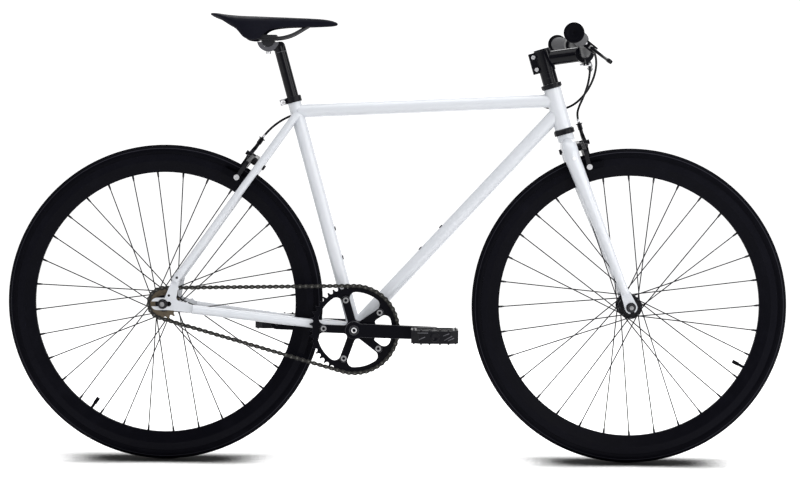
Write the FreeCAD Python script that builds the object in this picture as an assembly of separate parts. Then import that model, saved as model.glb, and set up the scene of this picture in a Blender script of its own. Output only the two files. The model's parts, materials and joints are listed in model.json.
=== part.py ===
"""Fixed gear bicycle: diamond frame, riser bar, deep rims and two caliper brakes.

Millimetres. +X is forward, +Y is the rider's left, +Z is up. The origin is on the
ground, midway between the wheel axles. The chain side is at -Y.
"""
import FreeCAD, Part
import math
import os

Vector = FreeCAD.Vector

# Layout
WHEELBASE = 990.6
TYRE_RADIUS = 336.5
BB_DROP = 52.5
SEAT_TUBE_TILT_DEG = 15.4
HEAD_TUBE_TILT_DEG = 16.2
FORK_RAKE = 33.0
FORK_LENGTH = 390.0
RUNNING_GAP = 0.3
BEARING_GAP = 0.05
FIT_GAP = 0.05
OVERRUN = 5.0
EDGE_TOLERANCE = 0.01

# Frame tubes
TUBE_WALL = 1.5
HEAD_TUBE_DIAMETER = 37.0
HEAD_TUBE_LENGTH = 89.0
TOP_TUBE_DIAMETER = 28.6
DOWN_TUBE_DIAMETER = 30.0
SEAT_TUBE_DIAMETER = 28.6
SEAT_TUBE_LENGTH = 510.0
TOP_TUBE_ON_SEAT_TUBE = 480.0
TOP_TUBE_BELOW_HEAD_TOP = 26.3
DOWN_TUBE_ABOVE_HEAD_FOOT = 37.8
BB_SHELL_DIAMETER = 40.0
BB_SHELL_WIDTH = 68.0
BB_SHELL_BORE = 34.8

# Rear stays and track ends
SEAT_STAY_DIAMETER = 16.0
SEAT_STAY_ON_SEAT_TUBE = 474.0
SEAT_STAY_TOP_Y = 15.5
SEAT_STAY_FOOT_FORWARD = 24.0
SEAT_STAY_FOOT_ABOVE = 48.0
CHAIN_STAY_DIAMETER = 19.0
CHAIN_STAY_ROOT_Y = 25.0
CHAIN_STAY_BEND_Y = 26.2
CHAIN_STAY_BEND_BACK = 112.0
CHAIN_STAY_FOOT_FORWARD = 62.0
CHAIN_STAY_FOOT_BELOW = 11.0
STAY_WALL = 1.2
STAY_CAP = 3.0
DROPOUT_THICKNESS = 6.0
DROPOUT_SPACING = 120.0
DROPOUT_SLOT = 10.4
DROPOUT_REAR = 25.0
DROPOUT_SLOT_FRONT = 13.0
DROPOUT_HALF_HEIGHT = 13.0
DROPOUT_TAB = 13.0
DROPOUT_TAB_INSERT = 14.0
DROPOUT_WEB_RADIUS = 16.0

# Braze-ons
BRIDGE_DIAMETER = 14.0
BRAKE_BRIDGE_DISTANCE = 355.7
CHAIN_STAY_BRIDGE_BACK = 58.0
BOSS_DIAMETER = 9.0
BOSS_PROUD = 1.6
BOSS_DEPTH = 6.0
BOSS_HOLE = 4.2
BOSS_SPACING = 64.0
SEAT_TUBE_BOSS = 153.0
DOWN_TUBE_BOSS = 220.5
GUIDE_LENGTH = 14.0
GUIDE_DIAMETER = 8.0
GUIDE_SEAT = 5.2
GUIDE_STAND_OFF = 4.0

# Headset
STEERER_DIAMETER = 28.6
STEERER_WALL = 2.4
HEADSET_DIAMETER = 44.0
LOWER_CUP_HEIGHT = 12.0
UPPER_CUP_HEIGHT = 10.0
CUP_INSERT = 9.0
CUP_CHAMFER = 2.5
HEADSET_BEARING_OUTER = 39.0
HEADSET_BEARING_HEIGHT = 7.0
SPACER_DIAMETER = 34.0
SPACER_HEIGHTS = (13.0, 10.0, 5.0)
TOP_CAP_HEIGHT = 3.5

# Fork
CROWN_DIAMETER = 34.0
CROWN_RACE_DIAMETER = 36.0
CROWN_RACE_HEIGHT = 14.0
CROWN_BELOW_RACE = 24.0
CROWN_SHOULDER_Y = 20.0
CROWN_SHOULDER_DROP = 2.0
CROWN_KNEE_Y = 31.0
CROWN_KNEE_DROP = 14.0
CROWN_FOOT_Y = 31.8
CROWN_FOOT_DROP = 30.0
BLADE_TOP_DIAMETER = 33.6
BLADE_FOOT_DIAMETER = 17.0
BLADE_FOOT_ABOVE = 30.0
BLADE_WALL = 1.4
FORK_SPACING = 100.0
FORK_END_THICKNESS = 5.0
FORK_END_SLOT = 9.3
FORK_END_RADIUS = 13.5
FORK_END_INSERT = 12.0

# Stem, bar and grips
STEM_LENGTH = 86.0
STEM_RISE_DEG = 8.3
STEM_CLAMP_HEIGHT = 45.0
STEM_CLAMP_DIAMETER = 37.0
STEM_AXIS_HEIGHT = 26.4
STEM_EXTENSION_DIAMETER = 31.0
STEM_BACK = 12.0
STEM_BACK_WIDTH = 20.0
BAR_CLAMP_DIAMETER = 40.0
BAR_CLAMP_WIDTH = 42.0
BAR_CLAMP_SPLIT = 2.0
FACEPLATE_EAR = 11.0
FACEPLATE_EAR_WIDTH = 14.0
BOLT_DIAMETER = 5.0
BOLT_HEAD_DIAMETER = 8.5
BOLT_HEAD_HEIGHT = 5.0
BOLT_HEX = 4.0
BOLT_HEX_DEPTH = 3.0
BAR_CENTRE_DIAMETER = 25.4
BAR_DIAMETER = 22.2
BAR_WALL = 2.2
BAR_SLEEVE_WIDTH = 56.0
BAR_SLEEVE_TAPER = 5.0
BAR_HALF_WIDTH = 280.0
BAR_RISE = 31.7
BAR_SWEEP = 40.5
BAR_FLAT_Y = 42.0
BAR_KNEE_Y = 102.0
BAR_KNEE_RISE = 22.0
BAR_KNEE_SWEEP = 10.0
BAR_RUN_SHARE = 0.2
STAY_RUN_SHARE = 0.45
CORD_RUN_SHARE = 0.45
GRIP_LENGTH = 128.0
GRIP_DIAMETER = 31.0
GRIP_FLANGE_DIAMETER = 42.0
GRIP_FLANGE = 4.0
GRIP_END_CAP = 3.0
GRIP_RIBS = 9
GRIP_RIB_DEPTH = 1.2

# Brake levers
LEVER_CLAMP_WIDTH = 16.0
LEVER_CLAMP_WALL = 4.5
LEVER_CLAMP_GAP_FROM_GRIP = 3.0
LEVER_DROP_DEG = 38.0
LEVER_PIVOT_REACH = 32.0
LEVER_PIVOT_DIAMETER = 5.0
LEVER_EYE_DIAMETER = 15.0
LEVER_THICKNESS = 7.0
LEVER_BLADE_WIDTH = 11.0
LEVER_LENGTH = 112.0
LEVER_TIP_REACH = 90.0
LEVER_ELBOW_OUT = 34.0
LEVER_ELBOW_REACH = 62.0
LEVER_FORK_WALL = 4.0
LEVER_BARREL_DIAMETER = 9.0
LEVER_BARREL_LENGTH = 17.0
LEVER_BARREL_OFFSET = 17.0

# Tyres, tubes and rims
TYRE_WIDTH = 25.5
TYRE_WALL = 3.0
TYRE_BEAD_DEPTH = 5.0
TYRE_MOUTH = 12.0
INNER_TUBE_GAP = 0.4
RIM_OUTER_RADIUS = 317.0
RIM_INNER_RADIUS = 278.0
RIM_WIDTH = 22.0
RIM_TRACK_DEPTH = 15.0
RIM_CHANNEL_WIDTH = 18.6
RIM_CHANNEL_DEPTH = 6.5
RIM_FLOOR = 2.0
RIM_WALL = 1.8
RIM_BED_WIDTH = 9.0
RIM_BED = 2.2
VALVE_DIAMETER = 6.0
VALVE_HOLE = 6.6
VALVE_PROUD = 26.0
VALVE_CAP_LENGTH = 14.0
VALVE_CAP_DIAMETER = 8.0
FRONT_VALVE_DEG = 117.6
REAR_VALVE_DEG = 214.7

# Hubs and spokes
SPOKES = 32
SPOKE_DIAMETER = 2.0
SPOKE_SWING_DEG = 67.5
SPOKE_RIM_Y = 1.6
FRONT_SPOKE_PHASE_DEG = -0.8
REAR_SPOKE_PHASE_DEG = -3.75
HUB_HOLE_CIRCLE = 44.0
HUB_FLANGE_DIAMETER = 51.0
HUB_FLANGE_THICKNESS = 3.0
FRONT_FLANGE_Y = 35.0
REAR_FLANGE_Y = 31.0
HUB_BARREL_DIAMETER = 25.0
HUB_END_DIAMETER = 34.0
FRONT_HUB_END_LENGTH = 8.0
REAR_HUB_END_LENGTH = 15.0
HUB_BARREL_BORE = 16.0
HUB_BEARING_OUTER = 26.0
HUB_BEARING_WIDTH = 8.0
FRONT_AXLE_DIAMETER = 9.0
REAR_AXLE_DIAMETER = 10.0
AXLE_PROUD = 15.0
LOCKNUT_DIAMETER = 17.0
AXLE_NUT_ACROSS = 15.0
AXLE_NUT_HEIGHT = 10.0
AXLE_WASHER_DIAMETER = 21.0
AXLE_WASHER_THICKNESS = 2.0
COG_THREAD_DIAMETER = 35.0

# Chain drive
CHAIN_PITCH = 12.7
CHAIN_LINKS = 96
CHAINRING_TEETH = 46
COG_TEETH = 16
CHAIN_LINE = 42.0
ROLLER_DIAMETER = 7.75
ROLLER_SEAT_GAP = 0.12
PLATE_THICKNESS = 1.0
PLATE_WAIST_SHARE = 0.6
PLATE_GAP = 0.1
INNER_PLATE_HEIGHT = 8.6
OUTER_PLATE_HEIGHT = 8.2
CHAIN_INNER_WIDTH = 3.3
TOOTH_THICKNESS = 2.7
TOOTH_ABOVE_PITCH = 2.9
TOOTH_TIP_WIDTH = 2.2
CHAINRING_INNER_RADIUS = 80.0
BOLT_CIRCLE_RADIUS = 65.0
CHAINRING_TAB_RADIUS = 9.0
CHAINRING_BOLT_DIAMETER = 10.0
CHAINRING_BOLT_HEAD = 12.5
CHAINRING_BOLT_PROUD = 1.6
SPIDER_ARMS = 5
SPIDER_THICKNESS = 5.0
SPIDER_ARM_ROOT = 24.0
SPIDER_ARM_TIP = 18.0
SPIDER_HUB_DIAMETER = 60.0
SPIDER_WEB_RADIUS = 47.0
WINDOW_BAR_WIDTH = 17.0
WINDOW_CORNER = 13.0
WINDOW_ROOT_CORNER = 8.0
WINDOW_WEB_CORNER = 5.0
COG_BORE_LIP = 3.0
LOCKRING_THICKNESS = 4.0
LOCKRING_DIAMETER = 42.0

# Crankset and pedals
CRANK_LENGTH = 170.0
CRANK_ANGLE_DEG = -1.7
CRANK_INNER_Y = 53.0
CRANK_THICKNESS = 13.0
CRANK_BOSS_DIAMETER = 37.0
CRANK_EYE_DIAMETER = 27.0
CRANK_ROOT_WIDTH = 29.0
LEFT_CRANK_BOSS_Y = 46.0
SPINDLE_DIAMETER = 17.0
SPINDLE_SQUARE = 12.0
SPINDLE_SQUARE_ROOT = 13.2
SPINDLE_SQUARE_LENGTH = 20.0
SPINDLE_END_INSET = 9.0
CRANK_BOLT_DIAMETER = 20.0
CUP_FLANGE = 3.0
CUP_FLANGE_DIAMETER = 40.0
CARTRIDGE_BORE = 29.0
CARTRIDGE_BEARING_WIDTH = 9.0
PEDAL_AXLE_DIAMETER = 9.0
PEDAL_AXLE_COLLAR = 15.0
PEDAL_AXLE_COLLAR_LENGTH = 5.0
PEDAL_START_Y = 78.0
PEDAL_WIDTH = 92.0
PEDAL_LENGTH = 98.0
PEDAL_HEIGHT = 27.0
PEDAL_CORNER = 16.0
PEDAL_RAIL = 11.0
PEDAL_BARREL_DIAMETER = 24.0
PEDAL_END_WALL = 9.0
PEDAL_RIB = 6.0

# Brake calipers
BRAKE_BOLT_DIAMETER = 6.0
BRAKE_FRONT_HEIGHT = 356.0
BRAKE_NUT_ACROSS = 10.0
BRAKE_NUT_HEIGHT = 5.0
BRAKE_SPACER_DIAMETER = 14.0
BRAKE_BRACKET_DEPTH = 8.0
BRAKE_ARM_DEPTH = 8.0
BRAKE_ARM_GAP = 0.6
BRAKE_ARM_WIDTH = 12.0
BRAKE_EYE_DIAMETER = 17.0
BRAKE_SIDE_PIVOT_Y = 25.0
BRAKE_SIDE_PIVOT_UP = 5.0
BRAKE_SHOULDER_Y = 37.0
BRAKE_SHOULDER_UP = -12.0
BRAKE_FOOT_Y = 29.5
BRAKE_CABLE_Y = 46.0
BRAKE_STOP_UP = 20.0
BRAKE_ANCHOR_UP = -2.0
BRAKE_ANCHOR_DIAMETER = 10.0
BRAKE_SPACER_BACK = 8.0
BRAKE_REAR_STANDOFF = 4.0
BRAKE_BARREL_DIAMETER = 8.0
BRAKE_BARREL_TOP = 48.0
BRAKE_RETURN_GAP = 2.6
PAD_LENGTH = 44.0
PAD_HEIGHT = 9.0
PAD_THICKNESS = 9.0
PAD_START = 1.5
PAD_TRACK_RADIUS = 310.0
PAD_BOLT_DIAMETER = 6.0
PAD_NUT_DIAMETER = 12.0
PAD_NUT_HEIGHT = 5.0

# Cables
CABLE_DIAMETER = 5.0
CABLE_STRAIGHT = 18.0

# Seat clamp, seatpost and saddle
SEAT_CLAMP_HEIGHT = 13.0
SEAT_CLAMP_WALL = 3.0
SEAT_CLAMP_OVERLAP = 11.0
SEAT_CLAMP_EAR = 12.0
SEAT_CLAMP_EAR_WIDTH = 16.0
SEAT_CLAMP_SLOT = 2.5
SEATPOST_DIAMETER = 25.4
SEATPOST_WALL = 2.4
SEATPOST_INSERT = 140.0
SEATPOST_TOP = 622.0
CRADLE_X_BEHIND_POST = 23.5
CRADLE_RISE = 13.0
CRADLE_OUTER_RADIUS = 23.5
CRADLE_INNER_RADIUS = 14.5
CRADLE_WIDTH = 26.0
SADDLE_TILT_DEG = 8.0
SADDLE_BOLT_DIAMETER = 7.0
SADDLE_BOLT_HEAD = 11.0
RAIL_DIAMETER = 7.0
RAIL_CLAMP_Y = 22.0
RAIL_ABOVE_CRADLE = 3.8
RAIL_FRONT_REACH = 40.0
RAIL_NOSE_REACH = 88.0
RAIL_NOSE_RISE = 28.0
RAIL_NOSE_Y = 9.0
RAIL_REAR_REACH = 26.0
RAIL_TAIL_REACH = 74.0
RAIL_TAIL_RISE = 33.0
RAIL_TAIL_Y = 30.0
CLAMP_HALF_WIDTH = 29.0
CLAMP_LENGTH = 38.0
CLAMP_JAW = 7.0
SADDLE_LENGTH = 270.0
SADDLE_HALF_WIDTH = 70.0
SADDLE_TAIL_BEHIND_CRADLE = 122.0
SADDLE_TOP_ABOVE_CRADLE = 52.0
SADDLE_SKIRT_DEPTH = 53.0
SADDLE_SHELL = 11.0
SADDLE_SIDE = 7.0


# Helpers

def rod(start, end, diameter):
    """Round bar between two points."""
    run = end - start
    return Part.makeCylinder(diameter / 2, run.Length, start, run)


def tube(start, end, diameter, wall):
    """Open round tube between two points."""
    return rod(start, end, diameter).cut(rod(start, end, diameter - 2 * wall))


def ring(start, end, outer, inner):
    """Ring between two points on its axis."""
    return rod(start, end, outer).cut(rod(start, end, inner))


def cut_all(shape, tools):
    """Cut every tool out of a shape and keep its largest solid."""
    for tool in tools:
        shape = shape.cut(tool)
    return max(shape.Solids, key=lambda solid: solid.Volume)


def fuse_all(shapes):
    """One solid from touching shapes, with the seams between flush faces removed."""
    return shapes[0].multiFuse(shapes[1:]).removeSplitter()


def group(shapes):
    """Separate solids that share one node."""
    return Part.makeCompound([solid for shape in shapes for solid in shape.Solids])


def mirror(shape):
    """The same piece on the other side of the bicycle."""
    return shape.mirror(Vector(0, 0, 0), Vector(0, 1, 0))


def local_frame(origin, x_axis, y_axis):
    """Placement whose local X and Y run along two square world directions."""
    x_axis = Vector(x_axis).normalize()
    y_axis = Vector(y_axis).normalize()
    z_axis = x_axis.cross(y_axis)
    return FreeCAD.Placement(FreeCAD.Matrix(
        x_axis.x, y_axis.x, z_axis.x, origin.x,
        x_axis.y, y_axis.y, z_axis.y, origin.y,
        x_axis.z, y_axis.z, z_axis.z, origin.z,
        0, 0, 0, 1))


def placed(shape, placement):
    """Copy of a shape, carried from a local frame into the bicycle's frame."""
    moved = shape.copy()
    moved.Placement = placement.multiply(moved.Placement)
    return moved


def polygon_plate(points, thickness):
    """Flat plate: an outline in the local XY plane, raised along Z."""
    wire = Part.makePolygon(list(points) + [points[0]])
    return Part.Face(wire).extrude(Vector(0, 0, thickness))


def strip_plate(start, end, start_width, end_width, thickness):
    """Tapered flat bar with round ends between two points of the local XY plane."""
    run = Vector(end - start).normalize()
    side = Vector(-run.y, run.x, 0)
    body = polygon_plate([start + side * (start_width / 2), start - side * (start_width / 2),
                          end - side * (end_width / 2), end + side * (end_width / 2)], thickness)
    up = Vector(0, 0, thickness)
    return body.multiFuse([rod(start, start + up, start_width), rod(end, end + up, end_width)])


def hex_bar(start, end, across):
    """Six-sided bar between two points."""
    run = end - start
    direction = Vector(run).normalize()
    side = direction.cross(Vector(1, 0, 0) if abs(direction.x) < abs(direction.y) + abs(direction.z)
                           else Vector(0, 1, 0)).normalize()
    radius = across / math.sqrt(3)
    corners = []
    for step in range(6):
        turn = FreeCAD.Rotation(direction, step * 60)
        corners.append(start + turn.multVec(side) * radius)
    return Part.Face(Part.makePolygon(corners + [corners[0]])).extrude(run)


def rounded_route(points, run_share):
    """Straight runs joined by tangent arcs, each as large as its two runs allow."""
    edges = []
    radii = []
    last = points[0]
    for before, corner, after in zip(points, points[1:], points[2:]):
        into = corner - before
        out = after - corner
        turn = into.getAngle(out)
        reach = run_share * min(into.Length, out.Length)
        radius = reach / math.tan(turn / 2)
        into.normalize()
        out.normalize()
        start = corner - into * reach
        end = corner + out * reach
        middle = corner + (out - into).normalize() * (radius / math.cos(turn / 2) - radius)
        edges.append(Part.LineSegment(last, start).toShape())
        edges.append(Part.Arc(start, middle, end).toShape())
        radii.append(radius)
        last = end
    edges.append(Part.LineSegment(last, points[-1]).toShape())
    return Part.Wire(edges), radii


def swept_rod(points, diameter, run_share):
    """Round bar along a rounded route, with its length and its tightest radius."""
    wire, radii = rounded_route(points, run_share)
    direction = points[1] - points[0]
    section = Part.Wire(Part.makeCircle(diameter / 2, points[0], direction))
    solid = wire.makePipeShell([section], True, False)
    return solid, wire.Length, min(radii)


def revolved(profile, origin, axis):
    """Turned piece: (radius, height) points about an axis from an origin."""
    side = axis.cross(Vector(0, 1, 0))
    if side.Length == 0:
        side = Vector(1, 0, 0)
    side.normalize()
    points = [origin + side * radius + axis * height for radius, height in profile]
    face = Part.Face(Part.makePolygon(points + [points[0]]))
    return face.revolve(origin, axis, 360)


def socket_bolt(head_top, into, length):
    """Socket head bolt: head_top is its outer face and into its direction."""
    into = Vector(into).normalize()
    shoulder = head_top + into * BOLT_HEAD_HEIGHT
    head = rod(head_top, shoulder, BOLT_HEAD_DIAMETER)
    shank = rod(shoulder, head_top + into * length, BOLT_DIAMETER)
    return head.fuse(shank).cut(hex_bar(head_top, head_top + into * BOLT_HEX_DEPTH, BOLT_HEX))


# Chain path: the rollers stand one pitch apart on the loop round both sprockets

def pitch_radius(teeth):
    return CHAIN_PITCH / (2 * math.sin(math.pi / teeth))


def chain_loop(stay_length):
    """Segments of the loop in the wheel plane, with the rear axle at zero."""
    front = Vector(math.sqrt(stay_length ** 2 - BB_DROP ** 2), 0, -BB_DROP)
    big = pitch_radius(CHAINRING_TEETH)
    small = pitch_radius(COG_TEETH)
    line = math.atan2(front.z, front.x)
    lean = math.acos((big - small) / stay_length)
    run = math.sqrt(stay_length ** 2 - (big - small) ** 2)
    wrap_front = 2 * (math.pi - lean)
    wrap_rear = 2 * lean
    return front, big, small, line, lean, run, wrap_front, wrap_rear


def loop_length(stay_length):
    front, big, small, line, lean, run, wrap_front, wrap_rear = chain_loop(stay_length)
    return big * wrap_front + small * wrap_rear + 2 * run


def loop_point(loop, distance):
    """Point on the loop, measured from the upper tangent point of the chainring."""
    front, big, small, line, lean, run, wrap_front, wrap_rear = loop
    upper = line + math.pi - lean
    lower = line + math.pi + lean
    if distance <= big * wrap_front:
        angle = upper - distance / big
        return front + Vector(math.cos(angle), 0, math.sin(angle)) * big
    distance -= big * wrap_front
    if distance <= run:
        start = front + Vector(math.cos(lower), 0, math.sin(lower)) * big
        end = Vector(math.cos(lower), 0, math.sin(lower)) * small
        return start + (end - start) * (distance / run)
    distance -= run
    if distance <= small * wrap_rear:
        angle = lower - distance / small
        return Vector(math.cos(angle), 0, math.sin(angle)) * small
    distance -= small * wrap_rear
    start = Vector(math.cos(upper), 0, math.sin(upper)) * small
    end = front + Vector(math.cos(upper), 0, math.sin(upper)) * big
    return start + (end - start) * (distance / run)


def walk_chain(stay_length):
    """Roller places for one trip round the loop, and how far the last overshoots."""
    loop = chain_loop(stay_length)
    total = loop_length(stay_length)
    distance = 0.0
    rollers = []
    for link in range(CHAIN_LINKS):
        here = loop_point(loop, distance % total)
        rollers.append(here)
        low = distance + CHAIN_PITCH
        high = distance + 1.2 * CHAIN_PITCH
        for halving in range(40):
            middle = (low + high) / 2
            chord = (loop_point(loop, middle % total) - here).Length
            if chord < CHAIN_PITCH:
                low = middle
            else:
                high = middle
        distance = low
    return rollers, distance - total


def stay_length_for_chain():
    """Centre distance at which the chain closes on a whole number of links."""
    half = CHAIN_LINKS - (CHAINRING_TEETH + COG_TEETH) / 2
    spread = (CHAINRING_TEETH - COG_TEETH) / (2 * math.pi)
    guess = (half + math.sqrt(half ** 2 - 8 * spread ** 2)) * CHAIN_PITCH / 4
    low = guess - CHAIN_PITCH / 4
    high = guess + CHAIN_PITCH / 4
    for halving in range(40):
        middle = (low + high) / 2
        rollers, overshoot = walk_chain(middle)
        if overshoot > 0:
            low = middle
        else:
            high = middle
    return middle


# Places worked out from the layout

def tilted_up(degrees):
    angle = math.radians(degrees)
    return Vector(-math.sin(angle), 0, math.cos(angle))


Y_AXIS = Vector(0, 1, 0)
SEAT_UP = tilted_up(SEAT_TUBE_TILT_DEG)
SEAT_BACK = SEAT_UP.cross(Y_AXIS)
STEER_UP = tilted_up(HEAD_TUBE_TILT_DEG)
STEER_FORWARD = Y_AXIS.cross(STEER_UP)
STAY_LENGTH = stay_length_for_chain()
REAR_AXLE = Vector(-WHEELBASE / 2, 0, TYRE_RADIUS)
FRONT_AXLE = Vector(WHEELBASE / 2, 0, TYRE_RADIUS)
BB_FORWARD = math.sqrt(STAY_LENGTH ** 2 - BB_DROP ** 2)
BB = REAR_AXLE + Vector(BB_FORWARD, 0, -BB_DROP)
STEER_FOOT = FRONT_AXLE - STEER_FORWARD * FORK_RAKE
LOWER_CUP_FOOT = FORK_LENGTH + RUNNING_GAP
HEAD_FOOT = LOWER_CUP_FOOT + LOWER_CUP_HEIGHT
HEAD_TOP = HEAD_FOOT + HEAD_TUBE_LENGTH
UPPER_CUP_TOP = HEAD_TOP + UPPER_CUP_HEIGHT
SPACER_FOOT = UPPER_CUP_TOP + RUNNING_GAP
STEM_FOOT = SPACER_FOOT + sum(SPACER_HEIGHTS)
STEM_TOP = STEM_FOOT + STEM_CLAMP_HEIGHT


def across(y):
    """Offset towards the rider's left."""
    return Y_AXIS * y


def on_steering(height, forward=0.0, y=0.0):
    return STEER_FOOT + STEER_UP * height + STEER_FORWARD * forward + across(y)


def on_seat_tube(height, y=0.0):
    return BB + SEAT_UP * height + across(y)


SEATPOST_BORE = SEATPOST_DIAMETER + 2 * FIT_GAP
TOP_TUBE_REAR = on_seat_tube(TOP_TUBE_ON_SEAT_TUBE)
TOP_TUBE_FRONT = on_steering(HEAD_TOP - TOP_TUBE_BELOW_HEAD_TOP)
TOP_TUBE_RUN = Vector(TOP_TUBE_FRONT - TOP_TUBE_REAR).normalize()
DOWN_TUBE_FRONT = on_steering(HEAD_FOOT + DOWN_TUBE_ABOVE_HEAD_FOOT)
DOWN_TUBE_RUN = Vector(DOWN_TUBE_FRONT - BB).normalize()
DROPOUT_Y = DROPOUT_SPACING / 2 + DROPOUT_THICKNESS / 2
SEAT_STAY_FOOT = REAR_AXLE + Vector(SEAT_STAY_FOOT_FORWARD, DROPOUT_Y, SEAT_STAY_FOOT_ABOVE)
SEAT_STAY_TOP = on_seat_tube(SEAT_STAY_ON_SEAT_TUBE, SEAT_STAY_TOP_Y)
CHAIN_STAY_FOOT = REAR_AXLE + Vector(CHAIN_STAY_FOOT_FORWARD, DROPOUT_Y, -CHAIN_STAY_FOOT_BELOW)


# Frame

def head_bar():
    return rod(on_steering(HEAD_FOOT), on_steering(HEAD_TOP), HEAD_TUBE_DIAMETER)


def seat_bar():
    return rod(BB, on_seat_tube(SEAT_TUBE_LENGTH), SEAT_TUBE_DIAMETER)


def shell_bar():
    half = across(BB_SHELL_WIDTH / 2)
    return rod(BB - half, BB + half, BB_SHELL_DIAMETER)


def top_bar():
    return rod(TOP_TUBE_REAR, TOP_TUBE_FRONT, TOP_TUBE_DIAMETER)


def down_bar():
    return rod(BB, DOWN_TUBE_FRONT, DOWN_TUBE_DIAMETER)


def boss_bars(diameter):
    """Bars at the four bottle bosses, two on each tube, from inside each wall outwards."""
    bars = []
    places = ((SEAT_UP, -SEAT_BACK, SEAT_TUBE_BOSS, SEAT_TUBE_DIAMETER),
              (DOWN_TUBE_RUN, DOWN_TUBE_RUN.cross(Y_AXIS), DOWN_TUBE_BOSS, DOWN_TUBE_DIAMETER))
    for run, out, first, tube_diameter in places:
        for height in (first, first + BOSS_SPACING):
            axis = BB + run * height
            inner = axis + out * (tube_diameter / 2 - BOSS_DEPTH)
            outer = axis + out * (tube_diameter / 2 + BOSS_PROUD)
            bars.append(rod(inner, outer, diameter))
    return bars


def head_tube():
    return tube(on_steering(HEAD_FOOT), on_steering(HEAD_TOP), HEAD_TUBE_DIAMETER, TUBE_WALL)


def seat_tube():
    wall = (SEAT_TUBE_DIAMETER - SEATPOST_BORE) / 2
    body = tube(BB, on_seat_tube(SEAT_TUBE_LENGTH), SEAT_TUBE_DIAMETER, wall)
    return cut_all(body, [shell_bar()] + boss_bars(BOSS_DIAMETER))


def down_tube():
    body = tube(BB, DOWN_TUBE_FRONT, DOWN_TUBE_DIAMETER, TUBE_WALL)
    return cut_all(body, [shell_bar(), seat_bar(), head_bar()] + boss_bars(BOSS_DIAMETER))


def top_tube():
    body = tube(TOP_TUBE_REAR, TOP_TUBE_FRONT, TOP_TUBE_DIAMETER, TUBE_WALL)
    return cut_all(body, [seat_bar(), head_bar(), down_bar()])


def bottom_bracket_shell():
    half = across(BB_SHELL_WIDTH / 2)
    return ring(BB - half, BB + half, BB_SHELL_DIAMETER, BB_SHELL_BORE)


def bottle_bosses():
    return group([bar.cut(hole) for bar, hole in zip(boss_bars(BOSS_DIAMETER), boss_bars(BOSS_HOLE))])


def dropout():
    """Left track end: a plate with a slot to the rear and a tab into each stay."""
    axle = local_frame(REAR_AXLE + across(DROPOUT_Y + DROPOUT_THICKNESS / 2), Vector(1, 0, 0), Vector(0, 0, 1))
    seat_foot = Vector(SEAT_STAY_FOOT_FORWARD, SEAT_STAY_FOOT_ABOVE, 0)
    chain_foot = Vector(CHAIN_STAY_FOOT_FORWARD, -CHAIN_STAY_FOOT_BELOW, 0)
    seat_end = seat_foot + Vector(seat_foot).normalize() * DROPOUT_TAB_INSERT
    chain_end = chain_foot + Vector(chain_foot).normalize() * DROPOUT_TAB_INSERT
    rear = Vector(-DROPOUT_REAR + DROPOUT_HALF_HEIGHT, 0, 0)
    front = Vector(DROPOUT_SLOT_FRONT, 0, 0)
    body = strip_plate(rear, front, 2 * DROPOUT_HALF_HEIGHT, 2 * DROPOUT_HALF_HEIGHT, DROPOUT_THICKNESS)
    seat_tab = strip_plate(front, seat_end, 2 * DROPOUT_HALF_HEIGHT, DROPOUT_TAB, DROPOUT_THICKNESS)
    chain_tab = strip_plate(front, chain_end, 2 * DROPOUT_HALF_HEIGHT, DROPOUT_TAB, DROPOUT_THICKNESS)
    web = polygon_plate([front, seat_foot, chain_foot], DROPOUT_THICKNESS)
    hollow = (seat_foot + chain_foot) * 0.5
    web = web.cut(rod(hollow, hollow + Vector(0, 0, DROPOUT_THICKNESS), 2 * DROPOUT_WEB_RADIUS))
    slot = strip_plate(Vector(-DROPOUT_REAR - OVERRUN, 0, 0), front, DROPOUT_SLOT, DROPOUT_SLOT,
                       DROPOUT_THICKNESS)
    plate = fuse_all([body, seat_tab, chain_tab, web]).cut(slot)
    return placed(cut_all(plate, []), axle)


def seat_stay():
    run = Vector(SEAT_STAY_TOP - SEAT_STAY_FOOT).normalize()
    bar = rod(SEAT_STAY_FOOT, SEAT_STAY_TOP, SEAT_STAY_DIAMETER)
    bore = rod(SEAT_STAY_FOOT, SEAT_STAY_TOP - run * STAY_CAP, SEAT_STAY_DIAMETER - 2 * STAY_WALL)
    return cut_all(bar, [bore, seat_bar(), top_bar(), dropout()])


def chain_stay_route():
    side_run = Vector(CHAIN_STAY_FOOT - BB)
    side_run.y = 0
    side_run.normalize()
    bend = BB + side_run * CHAIN_STAY_BEND_BACK + across(CHAIN_STAY_BEND_Y)
    return [BB + across(CHAIN_STAY_ROOT_Y), bend, CHAIN_STAY_FOOT]


def chain_stay():
    route = chain_stay_route()
    bar, length, radius = swept_rod(route, CHAIN_STAY_DIAMETER, STAY_RUN_SHARE)
    bore, length, radius = swept_rod(route, CHAIN_STAY_DIAMETER - 2 * STAY_WALL, STAY_RUN_SHARE)
    clear_shell = rod(BB - across(BB_SHELL_WIDTH), BB + across(BB_SHELL_WIDTH), BB_SHELL_DIAMETER)
    return cut_all(bar, [bore, clear_shell, dropout()])


def both_sides(piece):
    return group([piece, mirror(piece)])


def brake_bridge_point():
    """Point midway between the seat stays at the brake's distance from the axle."""
    run = Vector(SEAT_STAY_TOP - SEAT_STAY_FOOT)
    low = 0.0
    high = 1.0
    for halving in range(40):
        share = (low + high) / 2
        point = SEAT_STAY_FOOT + run * share
        point.y = 0
        if (point - REAR_AXLE).Length < BRAKE_BRIDGE_DISTANCE:
            low = share
        else:
            high = share
    return point


def stay_side_run():
    run = Vector(SEAT_STAY_TOP - SEAT_STAY_FOOT)
    run.y = 0
    return run.normalize()


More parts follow.
